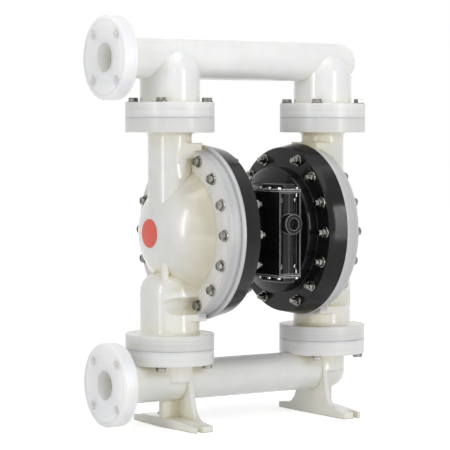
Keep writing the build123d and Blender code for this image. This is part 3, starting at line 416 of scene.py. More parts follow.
# Natural plastic of the manifolds and fluid caps
TRANSLUCENT_TINT = (1.0, 0.9, 0.66)
MOULDED_TRANSLUCENCE, PORT_TRANSLUCENCE = 0.5, 0.9
MOULDED_LIGHT_DEPTH, PORT_LIGHT_DEPTH = 0.02, 0.07
MOULDED_COAT, TURNED_COAT = 0.5, 0.1
MOULDED_EDGE, TURNED_EDGE = 0.0055, 0.0014
MOULDED_ROUGHNESS = (0.16, 0.27)
TURNED_ROUGHNESS = (0.26, 0.42)
VALVE_DISC_TONES = ((0.70, 0.703, 0.69), (0.80, 0.803, 0.79))
PORT_DISC_TONES = ((0.80, 0.802, 0.80), (0.91, 0.91, 0.908))
CAP_RING_TONES = ((0.50, 0.505, 0.505), (0.65, 0.655, 0.655))
CAP_DISC_SHADE = (0.90, 0.903, 0.895)
RIM_SHADE = (0.84, 0.84, 0.85)
# Painted warm shade in the crease where the dome meets the cap ring
ROOT_SHADE_TONE = (0.58, 0.53, 0.385)
ROOT_STRENGTH = 0.8
ROOT_REACH = 0.05
ROOT_SIDE_REACH = 0.02
JOINT_SEAM = 0.0004
PORT_FACE_MARGIN = 0.01
CAP_JOINT_MARGIN = 0.001
RIM_MARGIN = 0.003
SHADED_RIM = 0.006
ZONE_FADE = 0.004


def natural_zones(tree):
    """Masks of where a natural plastic part is turned or deep, with painted warm shade at the dome's foot,
    and the distance that tool lines follow.
    """
    axes = node(tree, "SeparateXYZ")
    feed(tree, axes.inputs[0], object_place(tree))
    x, y, z = axes.outputs
    side_x = math_node(tree, "ABSOLUTE", x)
    side_y = math_node(tree, "ABSOLUTE", y)
    pump_z = math_node(tree, "SUBTRACT", z, PUMP_Z)
    pump_r = length_of(tree, y, pump_z)
    column_r = length_of(tree, math_node(tree, "SUBTRACT", side_x, COLUMN_X), y)
    from_joint = math_node(tree, "SUBTRACT", math_node(tree, "ABSOLUTE", pump_z), HALF_CAP)

    valve = between(tree, from_joint, -VALVE_FLANGE_T, VALVE_FLANGE_T)
    port = between(tree, x, PORT_FACE_X - PORT_FACE_MARGIN, PORT_FACE_X + PORT_FLANGE_T)
    clear_of_riser_block = either(
        tree,
        math_node(tree, "GREATER_THAN", side_y, RISER_BLOCK_HALF_Y),
        math_node(tree, "LESS_THAN", pump_z, RISER_BLOCK_FOOT_RISE),
    )
    ring = overlap(
        tree,
        between(tree, pump_r, DOME_FOOT_R, RIM_R + RIM_MARGIN, ZONE_FADE),
        between(tree, side_x, CAP_JOINT_X - CAP_JOINT_MARGIN, RING_BACK_X),
        clear_of_riser_block,
    )
    # Painted warm shade at the dome's foot, fading out beside the riser block
    root_shade = overlap(
        tree,
        spread(tree, pump_r, DOME_FOOT_R - ROOT_REACH, DOME_FOOT_R),
        between(tree, pump_r, 0.0, DOME_FOOT_R + ZONE_FADE, ZONE_FADE),
        spread(tree, side_y, RISER_BLOCK_HALF_Y, RISER_BLOCK_HALF_Y + ROOT_SIDE_REACH),
        ROOT_STRENGTH,
    )

    upper = math_node(tree, "GREATER_THAN", z, PUMP_Z)
    axis_z = by_mask(tree, upper, INLET_Z, OUTLET_Z)
    port_r = length_of(tree, y, math_node(tree, "SUBTRACT", z, axis_z))
    distance = overlap(tree, math_node(tree, "ADD", column_r, z), valve)
    distance = math_node(tree, "MULTIPLY_ADD", math_node(tree, "ADD", port_r, x), port, distance)
    distance = math_node(tree, "MULTIPLY_ADD", math_node(tree, "ADD", pump_r, side_x), ring, distance)
    return {
        "valve": valve,
        "port": port,
        "ring": ring,
        "root_shade": root_shade,
        "frosted": either(tree, valve, port, ring),
        "cap_side": spread(tree, from_joint, JOINT_SEAM, -JOINT_SEAM),
        "outer_ring": spread(tree, pump_r, CAP_BOLT_CIRCLE_R, RIM_R - SHADED_RIM),
        "distance": distance,
    }


def turned_tones(tree, zones, line_tone):
    """Colour of the turned discs of the joints and ports, and of the cap rings."""
    disc = mix_colour(tree, line_tone, *VALVE_DISC_TONES)
    dull_disc = mix_colour(tree, zones["cap_side"], disc, CAP_DISC_SHADE, "MULTIPLY")
    disc = mix_colour(tree, zones["valve"], disc, dull_disc)
    disc = mix_colour(tree, zones["port"], disc, mix_colour(tree, line_tone, *PORT_DISC_TONES))
    ring = mix_colour(tree, line_tone, *CAP_RING_TONES)
    ring = mix_colour(tree, zones["outer_ring"], ring, RIM_SHADE, "MULTIPLY")
    return mix_colour(tree, zones["ring"], disc, ring)


def make_natural_plastic(name, low_tone, high_tone, hollow_glow_tone):
    """Natural polypropylene: glossy and cloudy mouldings, greyer and frosted where they are turned, with
    painted warm shade at the dome's foot and painted glow in the hollows.
    """
    material, tree, shader = new_material(name, high_tone, roughness=0.3)
    place = object_place(tree)
    zones = natural_zones(tree)
    frosted = zones["frosted"]
    lines = use_group(tree, turned_lines, Distance=zones["distance"], Pitch=0.0016)
    clouds = cloudy(tree, place, scale=16.0, contrast=1.7)
    waves = cloudy(tree, place, scale=28.0, contrast=1.0)
    grain = cloudy(tree, place, scale=240.0, contrast=1.0)
    hollow = use_group(tree, recess, Reach=0.05).outputs["Mask"]

    moulded = mix_colour(tree, clouds, low_tone, high_tone)
    # Painted warm shade at the dome's foot
    moulded = mix_colour(tree, zones["root_shade"], moulded, ROOT_SHADE_TONE)
    # Painted glow: hollows are painted lighter and warmer, standing in for light through the milky walls
    moulded = mix_colour(tree, hollow, moulded, hollow_glow_tone)
    turned = turned_tones(tree, zones, lines.outputs["Tone"])
    feed(tree, shader.inputs["Base Color"], mix_colour(tree, frosted, moulded, turned))

    translucence = by_mask(tree, zones["port"], MOULDED_TRANSLUCENCE, PORT_TRANSLUCENCE)
    light_depth = by_mask(tree, zones["port"], MOULDED_LIGHT_DEPTH, PORT_LIGHT_DEPTH)
    feed(tree, shader.inputs["Subsurface Weight"], translucence)
    feed(tree, shader.inputs["Subsurface Scale"], light_depth)
    shader.inputs["Subsurface Radius"].default_value = TRANSLUCENT_TINT
    feed(tree, shader.inputs["Coat Weight"], by_mask(tree, frosted, MOULDED_COAT, TURNED_COAT))
    shader.inputs["Coat Roughness"].default_value = 0.17
    gloss = wander(tree, clouds, *MOULDED_ROUGHNESS)
    matt = wander(tree, lines.outputs["Tone"], *TURNED_ROUGHNESS)
    feed(tree, shader.inputs["Roughness"], mix_value(tree, frosted, gloss, matt))

    grain_height = 0.12
    wave_height = 1.4
    height = overlap(tree, lines.outputs["Height"], frosted)
    height = math_node(tree, "MULTIPLY_ADD", grain, grain_height, height)
    height = math_node(tree, "MULTIPLY_ADD", waves, wave_height, height)
    edges = use_group(tree, rounded_edges, Radius=by_mask(tree, frosted, MOULDED_EDGE, TURNED_EDGE))
    add_bump(tree, shader, height, strength=0.35, distance=0.0004, normal=edges.outputs["Normal"])
    return material


# Other finishes


def paler(colour, gain, lift=0.0):
    """Tone made brighter by a factor and a step, held below white."""
    return tuple(min(1.0, value * gain + lift) for value in colour)


def make_satin_plastic(name, colour, roughness, edge_glint_and_scuff=0.5, edge_glint_and_scuff_step=0.07, edge_radius=0.0012):
    """Black filled plastic: satin, with a fine grain and paler rounded edges, which are painted highlight
    and partly real wear.
    """
    material, tree, shader = new_material(name, colour, roughness)
    place = object_place(tree)
    shader.inputs["Specular IOR Level"].default_value = 0.2
    clouds = cloudy(tree, place, scale=30.0, contrast=1.4)
    grain = cloudy(tree, place, scale=420.0, contrast=1.2)
    edges = use_group(tree, rounded_edges, Radius=edge_radius)
    tone = mix_colour(tree, clouds, colour, paler(colour, gain=1.6, lift=0.004))
    # Paler rounded edges: painted highlight along the edges, partly real wear; strongest on the valve
    # block and its end caps
    edge_glint_and_scuff_mask = math_node(tree, "MULTIPLY", edges.outputs["Edge"], edge_glint_and_scuff)
    tone = mix_colour(tree, edge_glint_and_scuff_mask, tone, paler(colour, gain=1.0, lift=edge_glint_and_scuff_step))
    feed(tree, shader.inputs["Base Color"], tone)
    satin = wander(tree, clouds, least=roughness - 0.06, most=roughness + 0.08)
    feed(tree, shader.inputs["Roughness"], satin)
    add_bump(tree, shader, grain, strength=0.25, distance=0.0002, normal=edges.outputs["Normal"])
    return material


def make_metal(name, colour, roughness, brush=(60.0, 60.0, 900.0)):
    """Bare metal with drawn marks, uneven tone, and painted shade in the corners."""
    material, tree, shader = new_material(name, colour, roughness, metallic=1.0)
    place = object_place(tree)
    stretch = node(tree, "Mapping")
    stretch.inputs["Scale"].default_value = brush
    feed(tree, stretch.inputs["Vector"], place)
    marks = cloudy(tree, stretch.outputs["Vector"], scale=1.0, contrast=1.0)
    clouds = cloudy(tree, place, scale=150.0, contrast=3.0)
    hollow = use_group(tree, recess, Reach=0.006).outputs["Mask"]
    edges = use_group(tree, rounded_edges, Radius=0.0005)
    dark, bright, dull = (paler(colour, gain) for gain in (0.5, 1.6, 0.2))
    # Painted shade: hollows round heads and flanges are darkened towards the dull tone
    painted_shade = math_node(tree, "MULTIPLY", hollow, 0.85)
    tone = mix_colour(tree, painted_shade, mix_colour(tree, clouds, dark, bright), dull)
    feed(tree, shader.inputs["Base Color"], tone)
    drawn = wander(tree, marks, least=roughness - 0.05, most=roughness + 0.12, low=0.3, high=0.7)
    feed(tree, shader.inputs["Roughness"], drawn)
    add_bump(tree, shader, marks, strength=0.2, distance=0.0001, normal=edges.outputs["Normal"])
    return material


def make_soft_material(name, colour, roughness):
    """Rubber, gasket sheet or smooth ball plastic: plain, with a slight bloom and grain."""
    material, tree, shader = new_material(name, colour, roughness)
    place = object_place(tree)
    clouds = cloudy(tree, place, scale=45.0, contrast=1.2)
    grain = cloudy(tree, place, scale=300.0, contrast=1.0)
    bloom = paler(colour, gain=1.2, lift=0.01)
    feed(tree, shader.inputs["Base Color"], mix_colour(tree, clouds, colour, bloom))
    dull = wander(tree, clouds, least=roughness - 0.05, most=roughness + 0.08)
    feed(tree, shader.inputs["Roughness"], dull)
    add_bump(tree, shader, grain, strength=0.2, distance=0.0002)
    return material


def make_porous_plastic():
    """Sintered wall of the muffler, with open grains."""
    grain_tone = (0.055, 0.055, 0.057)
    pore_tone = (0.012, 0.012, 0.012)
    material, tree, shader = new_material("muffler_sinter", (0.04, 0.04, 0.042), roughness=0.8)
    cells = node(tree, "TexVoronoi", feature="F1")
    cells.inputs["Scale"].default_value = 420.0
    feed(tree, cells.inputs["Vector"], object_place(tree))
    tone = mix_colour(tree, cells.outputs["Distance"], grain_tone, pore_tone)
    feed(tree, shader.inputs["Base Color"], tone)
    add_bump(tree, shader, cells.outputs["Distance"], strength=0.6, distance=0.0005)
    return material


def make_label_film():
    """Red plastic film with a faint sheen and a paler cut edge."""
    deep_red = (0.68, 0.08, 0.05)
    light_red = (0.74, 0.105, 0.07)
    cut_red = (0.85, 0.3, 0.25)
    material, tree, shader = new_material("label_red", (0.70, 0.085, 0.055), roughness=0.32)
    clouds = cloudy(tree, object_place(tree), scale=60.0, contrast=0.8)
    edges = use_group(tree, rounded_edges, Radius=0.0006)
    rim = math_node(tree, "MULTIPLY", edges.outputs["Edge"], 0.5)
    tone = mix_colour(tree, rim, mix_colour(tree, clouds, deep_red, light_red), cut_red)
    feed(tree, shader.inputs["Base Color"], tone)
    feed(tree, shader.inputs["Roughness"], wander(tree, clouds, least=0.28, most=0.38))
    add_bump(tree, shader, clouds, strength=0.08, distance=0.0002, normal=edges.outputs["Normal"])
    return material


# Lit and shaded copies of one natural plastic: painted lighter on the outlet manifold at the top, painted
# darker on the fluid caps in the middle, with the inlet manifold between, after how the light falls on
# each
lit_outlet_plastic = make_natural_plastic(
    "lit_outlet_plastic",
    low_tone=(0.77, 0.773, 0.755),
    high_tone=(0.86, 0.863, 0.85),
    hollow_glow_tone=(0.90, 0.875, 0.76),
)
inlet_plastic = make_natural_plastic(
    "inlet_plastic",
    low_tone=(0.71, 0.712, 0.69),
    high_tone=(0.79, 0.793, 0.775),
    hollow_glow_tone=(0.85, 0.815, 0.68),
)
cap_plastic = make_natural_plastic(
    "cap_plastic",
    low_tone=(0.67, 0.67, 0.64),
    high_tone=(0.78, 0.782, 0.76),
    hollow_glow_tone=(0.84, 0.79, 0.60),
)
black_plastic = make_satin_plastic("black_plastic", (0.005, 0.005, 0.006), roughness=0.16)
block_plastic = make_satin_plastic(
    "block_plastic",
    (0.006, 0.006, 0.007),
    roughness=0.22,
    edge_glint_and_scuff=1.0,
    edge_glint_and_scuff_step=0.62,
    edge_radius=0.0018,
)
end_cap_plastic = make_satin_plastic(
    "end_cap_plastic",
    (0.008, 0.008, 0.009),
    roughness=0.24,
    edge_glint_and_scuff=1.0,
    edge_glint_and_scuff_step=0.95,
    edge_radius=0.0026,
)
plate_plastic = make_satin_plastic("plate_plastic", (0.03, 0.03, 0.03), roughness=0.42)
steel = make_metal("stainless_steel", (0.27, 0.262, 0.24), roughness=0.13)
screw_steel = make_metal("screw_steel", (0.74, 0.73, 0.71), roughness=0.2)
alloy = make_metal("light_alloy", (0.70, 0.70, 0.71), roughness=0.3)
bronze = make_metal("bearing_bronze", (0.62, 0.42, 0.2), roughness=0.32)
rubber = make_soft_material("seal_rubber", (0.02, 0.02, 0.02), roughness=0.6)
ball_plastic = make_soft_material("ball_plastic", (0.86, 0.86, 0.84), roughness=0.28)
seat_plastic = make_soft_material("seat_plastic", (0.82, 0.81, 0.76), roughness=0.35)
muffler_sinter = make_porous_plastic()
label_red = make_label_film()


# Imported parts: finish of each
FINISH_BY_SLOT = {
    "natural_plastic": cap_plastic,
    "black_plastic": black_plastic,
    "moulded_plastic": plate_plastic,
    "stainless_steel": steel,
    "light_alloy": alloy,
    "bronze": bronze,
    "elastomer": rubber,
    "ball_plastic": ball_plastic,
}
FINISH_BY_NODE = {
    "outlet_manifold": lit_outlet_plastic,
    "inlet_manifold": inlet_plastic,
    "valve_block": block_plastic,
    "valve_end_cap_top": end_cap_plastic,
    "valve_end_cap_bottom": end_cap_plastic,
    "muffler": muffler_sinter,
}


def finish_of(name, slot):
    """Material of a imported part: its own, that of a valve seat, or that of its slot."""
    if name in FINISH_BY_NODE:
        return FINISH_BY_NODE[name]
    if "_seat_" in name and slot == "natural_plastic":
        return seat_plastic
    return FINISH_BY_SLOT[slot]


def smooth(part):
    """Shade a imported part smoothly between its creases, by modifiers alone."""
    for face in part.data.polygons:
        face.use_smooth = True
    weld = part.modifiers.new("weld", "WELD")
    weld.merge_threshold = WELD_DISTANCE
    crease = part.modifiers.new("crease", "EDGE_SPLIT")
    crease.split_angle = math.radians(PACKED_CREASE)


def paint(part, material):
    """Put one material in all the slots of a part."""
    if not part.material_slots:
        part.data.materials.append(material)
    for place in part.material_slots:
        place.material = material


slot_of_node = {row["node"]: row["material_slot"] for row in frame["record"]["subparts"]}
for name, part in frame["nodes"].items():
    paint(part, finish_of(name, slot_of_node[name]))
    smooth(part)


# Modelling by hand


def deselect():
    """Leave nothing selected."""
    bpy.ops.object.select_all(action="DESELECT")


def pick(*pieces):
    """Select these pieces alone, and make the first of them active."""
    deselect()
    for piece in pieces:
        piece.select_set(True)
    bpy.context.view_layer.objects.active = pieces[0]


def fresh(name):
    """Name the object that an operator has just added, with its place moved into its mesh."""
    piece = bpy.context.active_object
    piece.name = name
    piece.data.name = name
    bpy.ops.object.transform_apply(location=True, rotation=True, scale=True)
    return piece


def add_bar(name, radius, low, high, sides):
    """Round or many-sided bar along Z, between two heights."""
    deselect()
    bpy.ops.mesh.primitive_cylinder_add(
        vertices=sides, radius=radius, depth=high - low, location=(0, 0, (low + high) / 2)
    )
    return fresh(name)


def select_level(piece, height, kind):
    """In edit mode, select the edges or the faces of a piece that lie flat at one height."""
    bpy.ops.object.mode_set(mode="EDIT")
    bpy.ops.mesh.select_mode(type=kind)
    bpy.ops.mesh.select_all(action="DESELECT")
    mesh = bmesh.from_edit_mesh(piece.data)
    for item in mesh.edges if kind == "EDGE" else mesh.faces:
        item.select = all(abs(vertex.co.z - height) < LEVEL_MARGIN for vertex in item.verts)
    bmesh.update_edit_mesh(piece.data)


def soften_rim(piece, height, width, segments=2):
    """Bevel the rim of a bar at one height."""
    select_level(piece, height, "EDGE")
    bpy.ops.mesh.bevel(offset=width, segments=segments, affect="EDGES")
    bpy.ops.object.mode_set(mode="OBJECT")


def combine(piece, tool, operation):
    """Cut, keep or join one body with another, and delete the tool."""
    pick(piece)
    boolean = piece.modifiers.new("combine", "BOOLEAN")
    boolean.operation = operation
    boolean.object = tool
    boolean.solver = "EXACT"
    bpy.ops.object.modifier_apply(modifier=boolean.name)
    bpy.data.objects.remove(tool)
    return piece


def hexagon_head(name, flats, low, high, chamfer):
    """Six-sided head with its corners turned away at the top."""
    corner_r = flats / math.sqrt(3)
    head = add_bar(name, corner_r, low, high, HEXAGON_SIDES)
    blank = add_bar("turned_blank", corner_r, low - chamfer, high, BLANK_SIDES)
    soften_rim(blank, high, chamfer, segments=1)
    return combine(head, blank, "INTERSECT")


def dished(head, top, dish_r, depth):
    """Head with a shallow round dish in its top."""
    dish = add_bar("dish", dish_r, top - depth, top + CUT_PAST, BORE_SIDES)
    return combine(head, dish, "DIFFERENCE")


def threaded_tail(name, radius, high, low, pitch):
    """Lower end of a screw, with a turned groove for each turn of the thread."""
    height = high - pitch / 2
    tail = add_bar(name, radius, height, high, SHANK_SIDES)
    while height - pitch > low:
        for factor in (THREAD_ROOT, 1 / THREAD_ROOT):
            select_level(tail, height, "FACE")
            bpy.ops.mesh.extrude_region_move(TRANSFORM_OT_translate={"value": (0, 0, -pitch / 2)})
            height -= pitch / 2
            bpy.ops.transform.resize(value=(factor, factor, 1.0), center_override=(0, 0, height))
            bpy.ops.object.mode_set(mode="OBJECT")
    soften_rim(tail, height, radius * THREAD_END_CHAMFER, segments=1)
    return tail


def join(name, pieces):
    """Join finished bodies into one piece."""
    pick(*pieces)
    if len(pieces) > 1:
        bpy.ops.object.join()
    joined = bpy.context.active_object
    joined.name = name
    joined.data.name = name
    return joined


def finish_piece(piece, material):
    """Give a modelled piece its material, and smooth shading between its creases."""
    piece.data.materials.clear()
    piece.data.materials.append(material)
    pick(piece)
    bpy.ops.object.shade_smooth_by_angle(angle=math.radians(MODELLED_CREASE))


def dress(piece, material, slot, *replaced, body=HOUSING):
    """Give a finished piece its material, its place in the assembly and the parts it stands for."""
    finish_piece(piece, material)
    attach(piece, body)
    if replaced:
        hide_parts(*replaced)


def set_out(pattern, name, places):
    """Copies of a pattern made along Z, one at each point and direction, joined into one piece."""
    copies = []
    for count, (point, direction) in enumerate(places):
        pick(pattern)
        bpy.ops.object.duplicate()
        copy = bpy.context.active_object
        aim = Vector(direction).to_track_quat("Z", "Y").to_matrix().to_4x4()
        turn = Matrix.Rotation(math.radians(TURN_PER_COPY * count), 4, "Z")
        copy.matrix_world = Matrix.Translation(Vector(point)) @ aim @ turn
        bpy.ops.object.transform_apply(location=True, rotation=True, scale=True)
        copies.append(copy)
    return join(name, copies)


# Fasteners, each made once along Z with its seat at zero height


def make_cap_flange(name):
    """Round flange under the head of a cap bolt or round the foot of its nut."""
    flange = add_bar(name, CAP_BOLT_FLANGE_R, 0.0, CAP_BOLT_FLANGE_T, FLANGE_SIDES)
    soften_rim(flange, CAP_BOLT_FLANGE_T, CAP_BOLT_FLANGE_EDGE, segments=3)
    return flange


def make_cap_bolt():
    """Flanged hexagon bolt of a cap ring, with its head upwards."""
    flange = make_cap_flange("cap_bolt_flange")
    head_foot = CAP_BOLT_FLANGE_T - HEAD_SINK
    head = hexagon_head("cap_bolt_head", CAP_BOLT_FLATS, head_foot, CAP_BOLT_HEAD, CAP_BOLT_CHAMFER)
    head = dished(head, CAP_BOLT_HEAD, CAP_BOLT_DISH_R, CAP_BOLT_DISH_DEPTH)
    grip = RING_BACK_X - AIR_RING_X + CAP_BOLT_HEAD
    shank = add_bar("cap_bolt_shank", CAP_BOLT_R, -grip, SHANK_SINK, SHANK_SIDES)
    tail = threaded_tail("cap_bolt_tail", CAP_BOLT_R, -grip, -grip - CAP_BOLT_TAIL, CAP_BOLT_PITCH)
    return join("cap_bolt", [flange, head, shank, tail])


def make_cap_nut():
    """Flanged nut of a cap ring."""
    flange = make_cap_flange("cap_nut")
    body = hexagon_head("cap_nut_body", CAP_BOLT_FLATS, HEAD_SINK, CAP_BOLT_HEAD, CAP_BOLT_CHAMFER)
    nut = combine(flange, body, "UNION")
    bore_r = CAP_BOLT_R + CAP_NUT_GAP
    bore = add_bar("cap_nut_bore", bore_r, -CUT_PAST, CAP_BOLT_HEAD + CUT_PAST, BORE_SIDES)
    return combine(nut, bore, "DIFFERENCE")


def make_valve_bolt():
    """Hexagon bolt of a valve joint."""
    head = hexagon_head("valve_bolt_head", VALVE_BOLT_FLATS, 0.0, VALVE_BOLT_HEAD, VALVE_BOLT_CHAMFER)
    head = dished(head, VALVE_BOLT_HEAD, VALVE_BOLT_DISH_R, VALVE_BOLT_DISH_DEPTH)
    shank = add_bar("valve_bolt_shank", VALVE_BOLT_R, -VALVE_BOLT_GRIP, SHANK_SINK, SHANK_SIDES)
    return join("valve_bolt", [head, shank])


def make_washer():
    """Plain washer of a valve joint."""
    washer = add_bar("washer", WASHER_R, 0.0, WASHER_T, FLANGE_SIDES)
    soften_rim(washer, WASHER_T, WASHER_EDGE)
    hole = add_bar("washer_hole", WASHER_HOLE_R, -CUT_PAST, WASHER_T + CUT_PAST, HOLE_SIDES)
    return combine(washer, hole, "DIFFERENCE")


def make_socket_screw(name, radius, grip):
    """Socket head screw."""
    head_r = SOCKET_HEAD_WIDTH * radius
    head_top = SOCKET_HEAD_HEIGHT * radius
    head = add_bar(name, head_r, 0.0, head_top, SCREW_HEAD_SIDES)
    soften_rim(head, head_top, SOCKET_HEAD_EDGE * head_r)
    socket_r = SOCKET_WIDTH * head_r
    socket = add_bar("socket", socket_r, SOCKET_FLOOR * head_top, head_top + CUT_PAST, HEXAGON_SIDES)
    head = combine(head, socket, "DIFFERENCE")
    shank = add_bar("screw_shank", radius, -grip, SHANK_SINK, SCREW_SIDES)
    return join(name, [head, shank])


def make_exhaust_screw():
    """Hexagon screw of the exhaust cover."""
    chamfer = EXHAUST_SCREW_CHAMFER
    head = hexagon_head("exhaust_screw_head", EXHAUST_SCREW_FLATS, 0.0, EXHAUST_SCREW_HEAD, chamfer)
    grip = EXHAUST_SCREW_GRIP
    shank = add_bar("exhaust_screw_shank", EXHAUST_SCREW_R, -grip, SHANK_SINK, SCREW_SIDES)
    return join("exhaust_screw", [head, shank])


def circle_angles(count, first=0.0):
    """Evenly spaced angles in radians, from a first one in degrees."""
    return [math.radians(first + 360.0 / count * place) for place in range(count)]


def cap_bolt_points(side, x):
    """Points of the bolts of one cap, with none behind the valve necks above and below."""
    points = []
    top = CAP_BOLT_PLACES // 4
    half_turn = CAP_BOLT_PLACES // 2
    for place, angle in enumerate(circle_angles(CAP_BOLT_PLACES)):
        if place % half_turn != top:
            y = CAP_BOLT_CIRCLE_R * math.cos(angle)
            z = PUMP_Z + CAP_BOLT_CIRCLE_R * math.sin(angle)
            points.append((side * x, y, z))
    return points


def valve_bolt_places(z, up):
    """Points and directions of the bolts of both valve joints of one manifold."""
    places = []
    for side in (-1, 1):
        for angle in circle_angles(VALVE_BOLT_COUNT, VALVE_BOLT_FIRST_ANGLE):
            x = side * COLUMN_X + VALVE_BOLT_CIRCLE_R * math.cos(angle)
            places.append(((x, VALVE_BOLT_CIRCLE_R * math.sin(angle), z), (0, 0, up)))
    return places


def corner_places(half_x, y, half_z, direction):
    """Points at the corners of an upright rectangle about the pump's middle, with one direction."""
    return [
        ((x, y, PUMP_Z + z), direction)
        for x in (-half_x, half_x)
        for z in (-half_z, half_z)
    ]


def discard(*patterns):
    """Remove patterns once their copies are set out."""
    for pattern in patterns:
        bpy.data.objects.remove(pattern)


def fit_cap_fasteners():
    """Bolts and nuts round both cap rings."""
    bolt = make_cap_bolt()
    nut = make_cap_nut()
    for hand, side in (("left", -1), ("right", 1)):
        bolt_places = [(point, (side, 0, 0)) for point in cap_bolt_points(side, RING_BACK_X)]
        nut_places = [(point, (-side, 0, 0)) for point in cap_bolt_points(side, AIR_RING_X)]
        bolts = set_out(bolt, f"ring_bolts_{hand}", bolt_places)
        dress(bolts, steel, "stainless_steel", f"cap_bolts_{hand}")
        nuts = set_out(nut, f"ring_nuts_{hand}", nut_places)
        dress(nuts, steel, "stainless_steel", f"cap_nuts_{hand}")
    discard(bolt, nut)


def fit_valve_fasteners():
    """Bolts and washers of the four valve joints."""
    bolt = make_valve_bolt()
    washer = make_washer()
    seats = []
    for name, joint, up in (("outlet", UPPER_JOINT, 1), ("inlet", LOWER_JOINT, -1)):
        face = joint + up * VALVE_FLANGE_T
        bolts = set_out(bolt, f"{name}_flange_bolts", valve_bolt_places(face + up * WASHER_T, up))
        dress(bolts, steel, "stainless_steel", f"{name}_bolts")
        seats += valve_bolt_places(face, up)
    dress(set_out(washer, "flange_washers", seats), steel, "stainless_steel", "valve_bolt_washers")
    discard(bolt, washer)


def fit_block_screws():
    """Socket screws of the valve block and of its two end caps."""
    end_screw = make_socket_screw("end_screw", SMALL_SCREW_R, END_SCREW_GRIP)
    places = []
    for up in (-1, 1):
        z = PUMP_Z + up * (BLOCK_HALF_HEIGHT + END_FLANGE_T)
        for x in (-END_SCREW_X, END_SCREW_X):
            places += [((x, y, z), (0, 0, up)) for y in END_SCREW_ROWS]
    dress(set_out(end_screw, "end_screws", places), screw_steel, "stainless_steel", "end_cap_screws")
    block_screw = make_socket_screw("block_screw", SMALL_SCREW_R, BLOCK_SCREW_GRIP)
    corners = corner_places(BLOCK_SCREW_X, BLOCK_FRONT_Y + BLOCK_RECESS, BLOCK_SCREW_Z, (0, -1, 0))
    screws = set_out(block_screw, "block_screws", corners)
    dress(screws, steel, "stainless_steel", "valve_block_screws")
    discard(end_screw, block_screw)


def fit_exhaust_screws():
    """Hexagon screws at the corners of the exhaust cover."""
    screw = make_exhaust_screw()
    corners = corner_places(EXHAUST_SCREW_X, EXHAUST_FACE_Y, EXHAUST_SCREW_Z, (0, 1, 0))
    screws = set_out(screw, "exhaust_screws", corners)
    dress(screws, steel, "stainless_steel", "exhaust_cover_screws")
    discard(screw)


def fit_label():
    """Blank red disc on the flat pad of the left fluid cap."""
    disc = add_bar("label_blank", LABEL_R, 0.0, LABEL_T, LABEL_SIDES)
    soften_rim(disc, LABEL_T, LABEL_EDGE, segments=3)
    label = set_out(disc, "cap_label", [((-PAD_X, 0, PUMP_Z), (-1, 0, 0))])
    discard(disc)
    dress(label, label_red, "natural_plastic")


def fit_inlet_thread():
    """Turns of the pipe thread inside the air inlet."""
    crest_r = INLET_HOLE_R - INLET_THREAD_GAP
    core = threaded_tail("thread_core", crest_r, 0.0, -INLET_THREAD_LENGTH, INLET_THREAD_PITCH)
    core_low = min(vertex.co.z for vertex in core.data.vertices)
    bore_r = INLET_HOLE_R - INLET_THREAD_WALL
    bore = add_bar("thread_bore", bore_r, core_low - CUT_PAST, CUT_PAST, INLET_BORE_SIDES)
    turns = combine(core, bore, "DIFFERENCE")
    mouth = (0, INLET_BOSS_Y + INLET_THREAD_LIFT, INLET_HOLE_Z)
    thread = set_out(turns, "air_inlet_thread", [(mouth, (0, -1, 0))])
    discard(turns)
    dress(thread, black_plastic, "black_plastic")


# Diaphragms in sectors


def copy_packed(node_name, name):
    """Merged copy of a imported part's mesh, as a piece of its own."""
    piece = bpy.data.objects.new(name, frame["nodes"][node_name].data.copy())
    bpy.context.scene.collection.objects.link(piece)
    piece.data.name = name
    pick(piece)
    bpy.ops.object.mode_set(mode="EDIT")
    bpy.ops.mesh.select_all(action="SELECT")
    bpy.ops.mesh.remove_doubles(threshold=WELD_DISTANCE)
    bpy.ops.object.mode_set(mode="OBJECT")
    return piece


def cut_sector(middle, half_angle):
    """Keep the part of the active disc that lies within an angle of a direction from the pump's axis."""
    bpy.ops.object.mode_set(mode="EDIT")
    for hand in (-1, 1):
        edge = middle + hand * half_angle
        outward = (0, -hand * math.sin(edge), hand * math.cos(edge))
        bpy.ops.mesh.select_all(action="SELECT")
        bpy.ops.mesh.bisect(plane_co=(0, 0, PUMP_Z), plane_no=outward, use_fill=True, clear_outer=True)
    bpy.ops.object.mode_set(mode="OBJECT")


def fit_diaphragms():
    """Discs in sectors that meet edge to edge, cut from each diaphragm."""
    for hand, side in (("left", -1), ("right", 1)):
        for place, middle in enumerate(circle_angles(DIAPHRAGM_SECTORS)):
            sector = copy_packed(f"diaphragm_{hand}", f"diaphragm_{hand}_sector_{place + 1}")
            cut_sector(middle, math.pi / DIAPHRAGM_SECTORS)
            finish_piece(sector, rubber)
            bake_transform(sector)
            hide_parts(f"diaphragm_{hand}")


fit_cap_fasteners()
fit_valve_fasteners()
fit_diaphragms()
fit_block_screws()
fit_exhaust_screws()
fit_label()
fit_inlet_thread()


# Floor, light and camera
WHITE = (1.0, 1.0, 1.0, 1.0)
FLOOR_SIZE = 16.0
FLOOR_DROP = 0.0002
FLOOR_GLOW = 0.56
ROOM_LIGHT = 0.5
CAMERA_PLACE = (-2.369, -3.5012, 0.603)
CAMERA_TURN = (90 - 2.772, -0.093, -33.445)
LENS_LENGTH = 165.7
SENSOR_WIDTH = 36.0
PUMP_MIDDLE = (0.0, 0.0, 0.42)
PUMP_FOOT = (0.0, 0.0, 0.3)


def seen_only(tree):
    """One for rays from the camera, from gloss and through glass, and zero for light on the object."""
    path = node(tree, "LightPath")
    rays = ("Is Camera Ray", "Is Glossy Ray", "Is Transmission Ray")
    return either(tree, *(path.outputs[ray] for ray in rays))


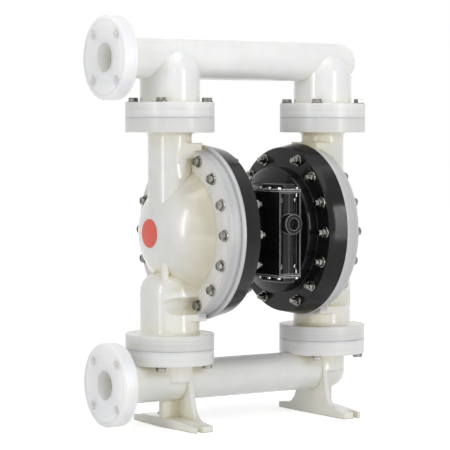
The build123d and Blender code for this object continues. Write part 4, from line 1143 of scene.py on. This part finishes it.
def make_floor():
    """Pale floor that fades into the white background but keeps the pump's shadow."""
    deselect()
    bpy.ops.mesh.primitive_plane_add(size=FLOOR_SIZE, location=(0, 0, -FLOOR_DROP))
    floor = fresh("floor")
    material, tree, shader = new_material("floor_white", (0.86, 0.86, 0.86), roughness=0.9)
    glow = node(tree, "Emission")
    glow.inputs["Color"].default_value = WHITE
    feed(tree, glow.inputs["Strength"], math_node(tree, "MULTIPLY", seen_only(tree), FLOOR_GLOW))
    both = node(tree, "AddShader")
    feed(tree, both.inputs[0], shader.outputs[0])
    feed(tree, both.inputs[1], glow.outputs[0])
    feed(tree, tree.nodes["Material Output"].inputs["Surface"], both.outputs[0])
    floor.data.materials.append(material)


def make_world():
    """Even studio light, with a white background where it is seen."""
    world = bpy.data.worlds.new("studio")
    bpy.context.scene.world = world
    world.use_nodes = True
    tree = world.node_tree
    backdrop = tree.nodes["Background"]
    backdrop.inputs["Color"].default_value = WHITE
    feed(tree, backdrop.inputs["Strength"], by_mask(tree, seen_only(tree), ROOM_LIGHT, 1.0))


def add_softbox(name, place, aim, width, height, power):
    """Rectangular soft lamp turned towards a point."""
    lamp = bpy.data.lights.new(name, "AREA")
    lamp.shape = "RECTANGLE"
    lamp.size = width
    lamp.size_y = height
    lamp.energy = power
    holder = bpy.data.objects.new(name, lamp)
    bpy.context.scene.collection.objects.link(holder)
    holder.location = place
    holder.rotation_euler = (Vector(aim) - Vector(place)).to_track_quat("-Z", "Y").to_euler()


def add_softboxes():
    """One broad lamp above, two tall narrow ones for the upright highlights, and a faint low one."""
    add_softbox(
        "overhead_softbox", place=(-0.2, -0.4, 2.3), aim=PUMP_MIDDLE, width=1.8, height=1.4, power=12
    )
    add_softbox(
        "left_softbox", place=(-2.15, -0.72, 1.0), aim=PUMP_MIDDLE, width=0.17, height=1.7, power=11
    )
    add_softbox(
        "right_softbox", place=(0.68, -2.16, 0.7), aim=PUMP_MIDDLE, width=0.2, height=1.7, power=15
    )
    add_softbox(
        "low_softbox", place=(-0.9, -1.9, 0.12), aim=PUMP_FOOT, width=2.2, height=0.2, power=2.5
    )


def add_camera():
    """Camera at the photograph's place, angle and framing."""
    lens = bpy.data.cameras.new("camera")
    lens.lens = LENS_LENGTH
    lens.sensor_width = SENSOR_WIDTH
    holder = bpy.data.objects.new("camera", lens)
    bpy.context.scene.collection.objects.link(holder)
    holder.location = CAMERA_PLACE
    holder.rotation_euler = [math.radians(angle) for angle in CAMERA_TURN]
    bpy.context.scene.camera = holder


make_floor()
make_world()
add_softboxes()
add_camera()
bpy.context.scene.view_settings.view_transform = "Standard"

deselect()
